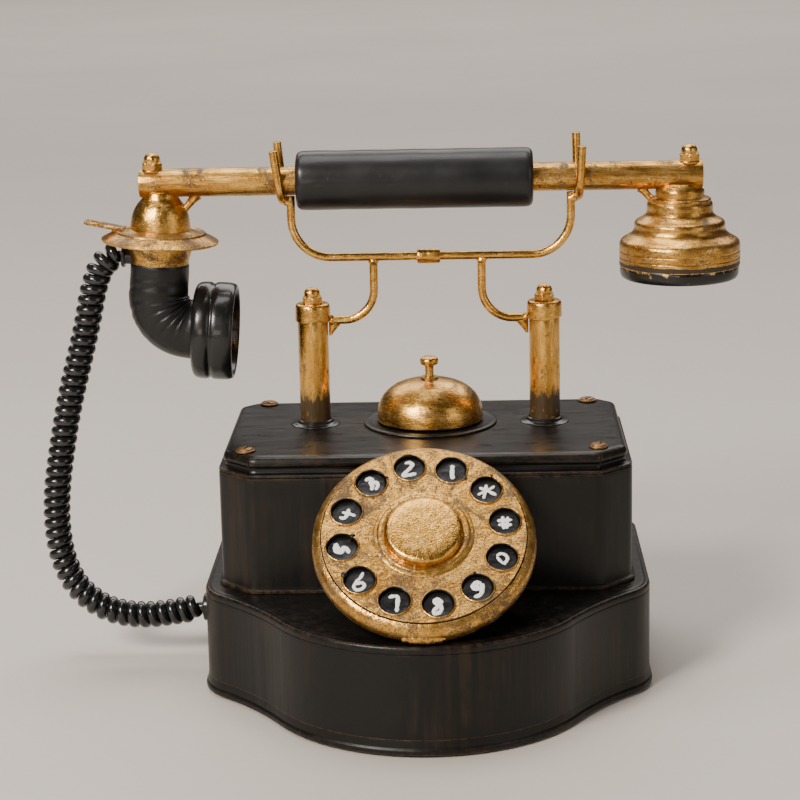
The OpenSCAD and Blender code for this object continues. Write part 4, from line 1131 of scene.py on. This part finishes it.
def brush_stroke(build, points, width, base, seed):
    """A thick stroke of paint on the number plate, in the dial's own plane."""
    line = spaced(spline([Vector((x, y, 0)) for x, y in points], 8), 0.22)
    n = len(line)
    rings = []
    for i, p in enumerate(line):
        along = (line[min(n - 1, i + 1)] - line[max(0, i - 1)]).normalized()
        side = Vector((-along.y, along.x, 0))
        t = min(i, n - 1 - i) * 0.22
        end = min(1.0, 0.35 + t / 0.8)
        w = width * 0.5 * end * (1 + 0.32 * noise.noise(Vector((p.x * 1.1, p.y * 1.1, seed))))
        h = 0.12 * end * (1 + 0.4 * noise.noise(Vector((p.x * 2.3, p.y * 2.3, seed + 7))))
        wave = 0.10 * noise.noise(Vector((p.x * 2.8, p.y * 2.8, seed + 3)))
        ring = []
        for k in range(10):
            a = 2 * PI * k / 10
            q = p + side * (w * math.cos(a) + wave)
            ring.append(dial_point(q.x, q.y, base + h * math.sin(a)))
        rings.append(ring)
    build.rings(rings)


def dial():
    face = flat_plate(circle(34.45, n=160), [circle(5.32, at, 48) for at in HOLES], 0.88, 0.10,
                      lambda p: dial_point(p.x, p.y, p.z - 0.45))
    for k, (x, y) in enumerate(HOLES):
        at = dial_point(x, y, 0)
        face.lathe([(5.5, -0.3), (5.33, -0.15), (5.27, 0.12), (5.33, 0.36), (5.5, 0.5), (5.68, 0.44),
                    (5.8, 0.26),
                    (5.9, 0.04), (6.0, -0.12)], at, DIAL_N, (1, 0, 0), 56, close=True, wobble=0.16,
                    seed=k * 1.7)
        # Black lining on each hole's wall: partly the black paint that spills from the discs, partly painted
        # shade of the wall inside the hole.
        face.lathe([(5.36, 0.16), (5.2, 0.06), (5.1, -0.3), (5.14, -0.8), (5.36, -0.88)], at, DIAL_N,
                   (1, 0, 0), 56,
                   close=True, wobble=0.26, seed=k * 2.3, kind=1)
    for k, away, size in ((4, 52, 0.95), (5, 158, 1.05), (0, -35, 0.8), (2, 20, 0.55), (8, 100, 0.6),
                          (11, 70, 0.5)):
        x, y = HOLES[k]
        a = math.radians(away)
        at = dial_point(x + 5.5 * math.cos(a), y + 5.5 * math.sin(a), 0.32)
        face.lathe([(0, 0.42), (size * 0.5, 0.36), (size * 0.85, 0.16), (size, -0.1), (size * 0.9, -0.4)],
                   at, DIAL_N,
                   (1, 0, 0), 24, wobble=0.4, seed=k, kind=1)
    face.lathe([(3.05, -0.1), (17.1, -0.1), (17.0, 0.18), (16.6, 0.36), (16.0, 0.40), (15.75, 0.46),
                (15.6, 0.7), (15.2, 0.88),
                (14.6, 0.93), (13.9, 0.88), (13.6, 0.8), (3.05, 0.88)], *ON_DIAL, 128,
                close=True)
    wheel = face.object("dial_finger_wheel", [GOLD_DIAL, GLOSS_DISC], 34)
    place(age(wheel), "dial", "gold_metal", "finger_wheel")

    cap = Build().lathe([(0, 0.92), (13.1, 0.92), (13.45, 1.0), (13.4, 1.5), (13.25, 2.1), (13.1, 2.7),
                         (12.8, 3.25),
                         (12.2, 3.62), (11.3, 3.78), (8, 3.83), (4, 3.85), (0, 3.86)], *ON_DIAL, 128,
                        wobble=0.08, seed=1.0)
    put(cap, "dial_centre_cap", GOLD_CAP, "dial", "gold_metal", "dial_cap", gain=2.6)

    roll = [(37.8 - 4.2 + 4.2 * math.cos(math.radians(a)), -4.6 + 4.2 * math.sin(math.radians(a)))
            for a in range(70, -1, -7)]
    profile = [(34.82, -2.84), (34.80, -1.0), (34.84, -0.6)] + roll + [
        (37.82, -6.0), (37.6, -7.2), (37.2, -8.1), (36.6, -8.65), (35.9, -8.8), (33.35, -8.8), (33.35, -2.92)]
    rim = Build().lathe(profile, *ON_DIAL, 192, close=True, wobble=0.14, seed=6)
    put(rim, "dial_rolled_bezel", GOLD_DIAL, "base", "gold_metal", "dial_bezel", gain=2.6)
    foot = spaced(spline([Vector((-7.2, -73.2, 40.6)), Vector((-3, -73.5, 40.8)), Vector((2, -73.4, 40.9)),
                          Vector((7.4, -73.1, 40.5))], 8), 0.35)
    filler = Build().tube(foot, lambda t: 2.3 * math.sin(PI * (0.04 + 0.92 * t)) ** 0.45
                          + 0.35 * noise.noise(Vector((t * 14, 1.3, 0))), 24, squash=0.96)
    for p in filler.points:
        p.z = max(38.42, p.z + 0.25 * noise.noise(p * 0.9))
    put(filler, "dial_foot_filler", GOLD_DIAL, "base", "gold_metal", gain=2.6)

    plate = Build()
    plate.lathe([(3.55, -2.9), (34.76, -2.9), (34.78, -1.5), (34.6, -1.32), (22, -1.32), (3.55, -1.32)],
                *ON_DIAL, 128, close=True)
    for k, (x, y) in enumerate(HOLES):
        plate.lathe([(5.35, -1.42), (5.2, -1.24), (4.8, -1.10), (4.2, -1.16), (3.2, -1.2), (1.6, -1.17),
                     (0, -1.15)],
                    dial_point(x, y, 0), DIAL_N, (1, 0, 0), 48, wobble=0.2, seed=k * 3.3)
    put(plate, "dial_number_plate", GLOSS_DISC, "base", "black_gloss", "number_plate")

    ink = Build()
    for k, ((x, y), (_, strokes, width)) in enumerate(zip(HOLES, GLYPHS)):
        for n, line in enumerate(strokes):
            brush_stroke(ink, [(x + a, y + 1.04 * b) for a, b in line], width * 1.12, -1.13 + 0.02 * n,
                         k + n * 0.3)
    put(ink, "dial_digits", DIGIT, "base", "black_gloss", angle=60)


def dial_body():
    disc = [(3.15, -16), (17.9, -16), (18.0, -15.8), (18, -8.85), (3.6, -8.85), (3.6, -2.95), (33.2, -2.95),
            (33.3, -3.2),
            (33.3, -8.6), (33.1, -8.8), (21, -8.8), (19.8, -9.0), (19.5, -9.6), (19.5, -16.9),
            (19.2, -17.6), (18.4, -18),
            (3.15, -18)]
    can = Build().lathe(disc, *ON_DIAL, 128, close=True)
    shell = can.object("dial_mount_can", [BLACK_PART], 34)
    neck = Build().lathe([(0, -60), (12.2, -60), (12.1, -40), (12, -30), (12.0, -22), (12.4, -19.5),
                          (13.2, -17.9), (0, -17.6)],
                         *ON_DIAL, 96).object("dial_mount_neck", [BLACK_PART], 34)
    cut(neck, box_cutter((-40, -18.3, -40), (40, 120, 160)).object("cutter", []),
        box_cutter((-60, -120, -60), (60, 60, 38.42)).object("cutter2", []))
    finish_shape(neck, 34)
    place(age(shell), "base", "black_metal", "dial_housing")
    place(age(neck), "base", "black_metal")


dial()
dial_body()


# ---- Handset ----

MOUTH_AT = (MOUTH_X, POST_Y, 0)
EAR_AT = (EAR_X, POST_Y, 0)


def along_x(x):
    return (x, POST_Y, HANDSET_Z)


def strut(build, x0, x1, z1, r0=1.55, r1=1.15):
    """The small welded strut between a tube and what hangs from it."""
    a, b = Vector((x0, POST_Y, HANDSET_Z - 4.6)), Vector((x1, POST_Y, z1))
    return build.tube(spaced([a, b], 0.3) + [b],
                      lambda t: r0 - (r0 - r1) * min(1, t * 1.6) + 0.5 * (1 - t) ** 6, 18)


def handset_tubes():
    for s, side in ((-1, "left"), (1, "right")):
        inner, outer = HANDSET_X + s * 8, HANDSET_X + s * 100.6
        a, b = (inner, outer) if s > 0 else (outer, inner)
        d = b - a
        profile = [(3.9, 0.3), (4.1, 0.05), (4.8, 0.0), (5.02, 0.12), (5.1, 0.5)]
        profile += [(5.1, d * k / 14) for k in range(1, 14)]
        profile += [(5.1, d - 0.5), (5.02, d - 0.12), (4.8, d), (4.1, d - 0.05), (3.9, d - 0.3)]
        tube = Build().lathe(profile, along_x(a), (1, 0, 0), (0, 0, 1), 72, close=True, wobble=0.07,
                             seed=3 * s)
        put(tube, f"handset_bar_{side}", GOLD_TUBE, "handset", "gold_metal", f"handset_tube_{side}")


def grip():
    half = 42.3
    profile = [(5.13, -half), (7.4, -half), (8.3, -half + 0.02), (9.1, -half + 0.18), (9.75, -half + 0.55),
               (10.25, -half + 1.1), (10.52, -half + 1.9), (10.6, -half + 3.0)]
    profile += [(10.6 + 0.04 * math.sin(k * 1.7), -half + 3 + (2 * half - 6) * k / 16) for k in range(1, 16)]
    profile += [(r, -h) for r, h in reversed(profile[:8])]
    sleeve = Build().lathe(profile, along_x(HANDSET_X - 2), (1, 0, 0), (0, 0, 1), 96, close=True,
                           wobble=0.12, seed=12)
    put(sleeve, "handset_grip", GRIP, "handset", "black_gloss", "grip")


def bolts():
    build = Build()
    for n, x in enumerate(BOLTS):
        cap_nut(build, (x, POST_Y, HANDSET_Z + 5.0), (0.03 - 0.05 * n, 0, 1), 0.22 + 0.3 * n)
        build.lathe([(0, -15.8), (1.5, -15.8), (1.5, 0.6), (0, 0.7)], (x, POST_Y, HANDSET_Z + 4.8), steps=24)
        build.lathe([(2.2, -0.5), (3.9, -0.5), (4.0, -0.2), (3.8, 0.12), (2.2, 0.2)],
                    (x, POST_Y, HANDSET_Z + 4.8),
                    steps=44, close=True, wobble=0.35, seed=n + 2)
    put(build, "handset_cap_nuts", GOLD, "handset", "gold_metal", "tube_bolts", gain=2.6)


def saddle():
    return Build().lathe([(0, -140), (5.16, -140), (5.16, 140), (0, 140)], (0, POST_Y, HANDSET_Z),
                         (1, 0, 0), (0, 0, 1),
                         96).object("saddle", [])


def mouth_top():
    outside = soften([(0, 174.6), (5.7, 174.4), (6.5, 171.5), (8.6, 169.2), (10.1, 166.0), (10.7, 162.4),
                      (10.8, 159.55)],
                     [0, 1.2, 2, 2, 2, 2, 0], 4)
    inside = [(9.4, 159.55), (9.2, 162.4), (8, 165.4), (0, 165.4)]
    dome = Build().lathe(outside + inside, MOUTH_AT, steps=96, wobble=0.12, seed=4).tilt()
    obj = dome.object("mouthpiece_dome", [GOLD], 34)
    cut(obj, saddle())
    finish_shape(obj, 34)
    brace = strut(Build(), MOUTH_X + 12.8, MOUTH_X + 8.0, 166.9, 1.7, 1.35).object("mouthpiece_strut", [GOLD])
    place(age(obj), "handset", "gold_metal", "mouth_dome")
    place(age(brace), "handset", "gold_metal")

    plate = [(6, 156.42), (13.6, 156.42), (16.5, 156.0), (19.4, 155.66), (20.3, 155.6), (20.85, 155.72),
             (21.12, 156.1),
             (21.05, 156.5), (20.6, 156.85), (19.6, 157.4), (18.2, 158.1), (16.9, 158.65), (16.5, 158.9),
             (16.32, 159.3),
             (16.05, 159.6), (15.6, 159.72), (15.1, 159.68), (14.6, 159.4), (14.2, 159.32), (13.2, 159.55),
             (12.2, 159.8), (11.3, 160.1), (10.9, 160.3), (10.5, 160.3), (6, 160.0)]
    flange = Build().lathe(plate, MOUTH_AT, steps=144, close=True, wobble=0.18, seed=9)
    lean = math.radians(8)

    def lug_point(x, y, z):
        x, z = x * math.cos(lean) + z * math.sin(lean), z * math.cos(lean) - x * math.sin(lean)
        return Vector((MOUTH_X - 14.6 + x, POST_Y + y, 159.9 + z))

    outline = soften([(-12.9, -3.5), (1.6, -3.9), (1.6, 3.9), (-12.9, 3.5)], [1.6, 0.6, 0.6, 1.6], 6, True)
    flat_plate(outline, [circle(1.6, (-8.9, 0), 32)], 1.05, 0.28, lambda p: lug_point(p.x, p.y, p.z),
               build=flange)
    lip = [lug_point(x, -3.55 + 0.15 * math.sin(x), 0.42 + 0.12 * math.sin(x * 1.3)) for x in
           [1.2 - 0.5 * k for k in range(28)]]
    flange.tube(lip, lambda t: 0.42 + 0.1 * math.sin(9 * t), 12)
    flange.lathe([(1.55, -0.62), (2.1, -0.55), (2.35, 0.45), (2.15, 0.78), (1.75, 0.72), (1.55, 0.4)],
                 lug_point(-8.9, 0, 0), (math.sin(lean), 0, math.cos(lean)), steps=36, close=True,
                 wobble=0.14)
    flange.tube(spaced([Vector((MOUTH_X - 15.0, POST_Y, 157.6)), Vector((MOUTH_X - 16.2, POST_Y, 159.8))],
                       0.4), 1.9, 18)
    flange.tilt()
    put(flange, "mouthpiece_saucer", GOLD_RIM, "handset", "gold_metal", "mouth_flange", angle=32, gain=2.6)

    profile = [(9.0, 147.85), (10.2, 147.85), (10.48, 148.1), (10.42, 148.7), (10.6, 149.6), (10.9, 150.6),
               (11.25, 151.8),
               (11.6, 153.0), (11.9, 154.2), (12.15, 155.3), (12.35, 156.36), (10.8, 156.36), (10.7, 154.9),
               (9.7, 151)]
    cup = Build().lathe(profile, MOUTH_AT, steps=96, close=True, wobble=0.14, seed=14).tilt()
    put(cup, "mouthpiece_under_cup", GOLD_RIM, "handset", "gold_metal", "under_cup")


def elbow():
    bend_z, bend_r, r0 = 136.7, 12.8, 10.6
    path = [Vector((MOUTH_X, POST_Y, 148.3 - k * 0.5)) for k in range(24)]
    frames = [(p, Vector((-1, 0, 0)), Vector((0, 0, -1))) for p in path[:-1]]
    c = Vector((MOUTH_X + bend_r, POST_Y, bend_z))
    for k in range(45):
        a = math.radians(180 + 2 * k)
        out = Vector((math.cos(a), 0, math.sin(a)))
        frames.append((c + bend_r * out, out, Vector((-out.z, 0, out.x))))
    for k in range(1, 4):
        frames.append((Vector((MOUTH_X + bend_r + k * 0.6, POST_Y, bend_z - bend_r)), Vector((0, 0, -1)),
                       Vector((1, 0, 0))))
    steps = 96
    side = Vector((0, 1, 0))
    rings = []
    creases = ((0.22, 0.055, -1.9, 0.9, 0.42), (0.34, 0.04, -2.45, 0.75, 0.5), (0.44, 0.035, 3.05, 0.9, 0.62),
               (0.54, 0.035, 2.75, 0.8, 0.55), (0.64, 0.04, 3.3, 0.8, 0.6), (0.73, 0.035, 2.9, 0.7, 0.5),
               (0.30, 0.03, 0.35, 0.6, 0.30), (0.45, 0.028, -0.2, 0.55, 0.28), (0.58, 0.03, 0.3, 0.5, 0.26),
               (0.16, 0.03, -1.2, 0.5, 0.26),
               (0.40, 0.02, -2.05, 0.7, 0.42), (0.50, 0.02, -2.15, 0.8, 0.5), (0.60, 0.02, -2.05, 0.8, 0.5),
               (0.70, 0.02, -1.95, 0.8, 0.45), (0.80, 0.02, -2.1, 0.7, 0.4), (0.26, 0.018, -0.7, 0.45, 0.3),
               (0.38, 0.018, -0.85, 0.45, 0.32), (0.50, 0.016, -0.6, 0.5, 0.28),
               (0.64, 0.018, -0.8, 0.5, 0.3))
    n = len(frames)
    for i, (p, out, _) in enumerate(frames):
        t = i / (n - 1)
        bulge = math.sin(PI * min(1, max(0, (t - 0.12) / 0.85))) ** 1.2
        ring = []
        for k in range(steps):
            a = 2 * PI * k / steps
            toward = math.cos(a)
            r = r0 + 0.65 * bulge * max(0, toward) ** 1.5 + 0.15 * noise.noise(Vector((toward * 1.6, t * 3,
                                                                                       math.sin(a))))
            if t > 0.9:
                r += 0.5 * ((t - 0.9) / 0.1) ** 2
            if t < 0.03:
                r -= 0.35 * (1 - t / 0.03)
            for at, wide, angle, spread, deep in creases:
                off = (a - angle + PI) % (2 * PI) - PI
                bend = at + 0.02 * math.sin(off * 2.3 + angle)
                reach = deep * math.exp(-(off / spread) ** 2)
                r -= reach * math.exp(-((t - bend) / wide) ** 2 * 2.2)
                r += 0.4 * reach * math.exp(-((t - bend - wide * 1.5) / wide) ** 2 * 2.2)
            ring.append(p + r * (toward * out + math.sin(a) * side))
        rings.append(ring)
    inner = []
    for p, out, _ in reversed(frames):
        inner.append([p + 8.7 * (math.cos(2 * PI * k / steps) * out + math.sin(2 * PI * k / steps) * side)
                      for k in range(steps)])
    hose = Build().rings(rings + inner, close=True).tilt()
    put(hose, "mouthpiece_elbow", GLOSS_HOSE, "handset", "black_gloss", "elbow", angle=50, gain=1.6, blur=2)

    profile = [(8.8, -0.2), (10.6, -0.25), (11.6, -0.1), (13.4, 0.15), (15.1, 0.4), (16.2, 0.8),
               (16.95, 1.4), (17.4, 2.2),
               (17.62, 3.2), (17.72, 4.4), (17.7, 5.6), (17.5, 6.25), (17.2, 6.6), (17.1, 7.1), (17.2, 7.55),
               (17.5, 7.85), (17.7, 8.3), (17.78, 9.6), (17.78, 11.6), (17.7, 13.2), (17.45, 14.3),
               (17.05, 15.0),
               (16.6, 15.35), (16.15, 15.4), (15.8, 15.2), (15.5, 14.8), (14.8, 13.2), (13.5, 10.6),
               (12.2, 8.1),
               (12.12, 7.5), (12.12, 3.6), (8.8, 3.6)]
    drum = Build().lathe(profile, (MOUTH_X + bend_r, POST_Y, bend_z - bend_r), (1, 0, 0), (0, 0, 1), 112,
                         close=True,
                         wobble=0.16, seed=5).tilt()
    put(drum, "mouthpiece_cup", GLOSS, "handset", "black_gloss", "mouth_cup", angle=40, gain=2.0)


def earpiece():
    outside = soften([(0, 174.6), (6.6, 174.2), (8.3, 172.2), (8.75, 171.2), (8.6, 169.1), (10.7, 168.75),
                      (11.1, 168.2),
                      (11.0, 167.55), (11.55, 167.1), (11.8, 166.2), (11.75, 164.0), (12.2, 162.8),
                      (13.8, 161.6),
                      (15.5, 160.8), (16.2, 160.0), (16.3, 159.0), (16.15, 158.3), (16.4, 157.2),
                      (17.4, 155.9),
                      (19.2, 154.8), (20.7, 154.0), (21.45, 153.0), (21.6, 151.9), (21.6, 150.3),
                      (21.45, 150.05),
                      (21.6, 149.8), (21.62, 148.0), (21.45, 147.75), (21.62, 147.5), (21.6, 145.2),
                      (21.55, 144.62)],
                     [0, 0.8, 0.6, 0.4, 0.2, 0.4, 0.4, 0.1, 0.4, 0.6, 0.5, 0.8, 0.8, 0.6, 0.5, 0.3, 0.2,
                      0.6, 0.8, 0.8,
                      0.7, 0.6, 0.4, 0.08, 0.06, 0.08, 0.08, 0.06, 0.08, 0.2, 0], 3)
    inside = [(20.0, 144.62), (20, 151.2), (17, 153.4), (15, 155.4), (14.4, 158), (11, 160.6), (9.6, 162),
              (0, 162)]
    bell = Build().lathe(outside + inside, EAR_AT, steps=144, wobble=0.16, seed=21)
    obj = bell.object("earpiece_bell", [GOLD_EAR], 34)
    cut(obj, saddle())
    finish_shape(obj, 34)
    place(age(obj, 2.6), "handset", "gold_metal", "ear_bell")
    brace = strut(Build(), EAR_X - 13.8, EAR_X - 10.2, 168.2, 1.5, 1.3).object("earpiece_strut", [GOLD])
    place(age(brace), "handset", "gold_metal")

    profile = [(0, 141.8), (13.4, 141.8), (14.4, 141.6), (15.3, 140.9), (16.0, 140.2), (17.0, 140.0),
               (19.0, 140.0),
               (20.0, 140.12), (20.7, 140.5), (21.1, 141.2), (21.3, 142.0), (21.35, 143.4), (21.35, 144.3),
               (21.2, 144.56),
               (19.9, 144.56), (19.9, 147.2), (18.6, 147.2), (18.6, 144.6), (0, 144.6)]
    cap = Build().lathe(profile, EAR_AT, steps=128, wobble=0.14, seed=31).object("earpiece_cap",
                                                                                             [GLOSS_EAR], 36)
    drill = Build()
    for k in range(8):
        a = PI / 4 * k
        drill.lathe([(0, 130), (1.2, 130), (1.2, 160), (0, 160)],
                    (EAR_X + 8 * math.cos(a), POST_Y + 8 * math.sin(a), 0),
                    steps=20)
    cut(cap, drill.object("drill", []))
    finish_shape(cap, 36)
    place(age(cap, 2.4), "handset", "black_gloss", "ear_cap")


def glands():
    profile = [(0, -0.1), (2.2, -0.08), (3.3, 0), (3.95, 0.15), (4.18, 0.45), (4.2, 0.9), (4.1, 1.3),
               (3.0, 1.34),
               (2.95, 4.5), (0, 4.55)]
    upper = Build().lathe(profile, (MOUTH_X - 13.8, POST_Y, 150), (1, 0, 0), (0, 0, 1), 56, wobble=0.1).tilt()
    put(upper, "handset_cord_gland", GLOSS, "handset", "black_gloss", "handset_gland")
    profile = [(0, 9.5), (4.45, 9.5), (4.5, 5.0), (6.4, 4.95), (6.9, 4.7), (7.0, 4.2), (6.95, 3.6),
               (6.6, 3.15), (5.9, 3.0),
               (5.3, 2.85), (5.1, 2.4), (5.12, 0.9), (4.9, 0.35), (4.3, 0.05), (3.0, 0), (0, 0)]
    lower = Build().lathe(profile, (-84, 26, 19), (1, 0, 0), (0, 0, 1), 64, wobble=0.1, seed=2)
    put(lower, "base_cord_gland", GLOSS, "base", "black_gloss", "base_gland")


handset_tubes()
grip()
bolts()
mouth_top()
elbow()
earpiece()
glands()


# ---- Floor and light ----

def studio():
    half = 14.0 / MM
    shape = Build().add([(-half, -half, 0), (half, -half, 0), (half, half, 0), (-half, half, 0)],
                        [(0, 1, 2, 3)])
    floor = shape.object("floor", [floor_look()])
    world = bpy.data.worlds.new("studio")
    world.use_nodes = True
    world.node_tree.nodes["Background"].inputs[0].default_value = (0.46, 0.40, 0.35, 1)
    world.node_tree.nodes["Background"].inputs[1].default_value = 0.20
    scene.world = world
    for name, spot, aim, size, power, tint in (
            ("key", (-0.85, -1.05, 1.05), (0, 0, 0.10), (0.45, 0.45), 37, (1.0, 0.94, 0.86)),
            ("fill", (1.2, -0.8, 0.55), (0, 0, 0.10), (0.6, 0.8), 3.0, (1.0, 0.95, 0.90)),
            ("top", (-0.1, 0.25, 1.5), (0, 0, 0.1), (1.0, 0.6), 12, (1.0, 0.97, 0.94)),
            ("low", (-0.35, -1.25, 0.30), (0, 0, 0.06), (0.4, 0.25), 1.6, (1.0, 0.92, 0.82)),
            ("back", (0.0, 3.4, 2.6), (0, 3.2, 0), (5.0, 3.0), 150, (1.0, 0.95, 0.90))):
        data = bpy.data.lights.new(name, "AREA")
        data.shape = "RECTANGLE"
        data.size, data.size_y = size
        data.energy = power
        data.color = tint
        lamp = bpy.data.objects.new(name, data)
        lamp.location = spot
        lamp.rotation_euler = (Vector(aim) - Vector(spot)).to_track_quat("-Z", "Y").to_euler()
        scene.collection.objects.link(lamp)


studio()
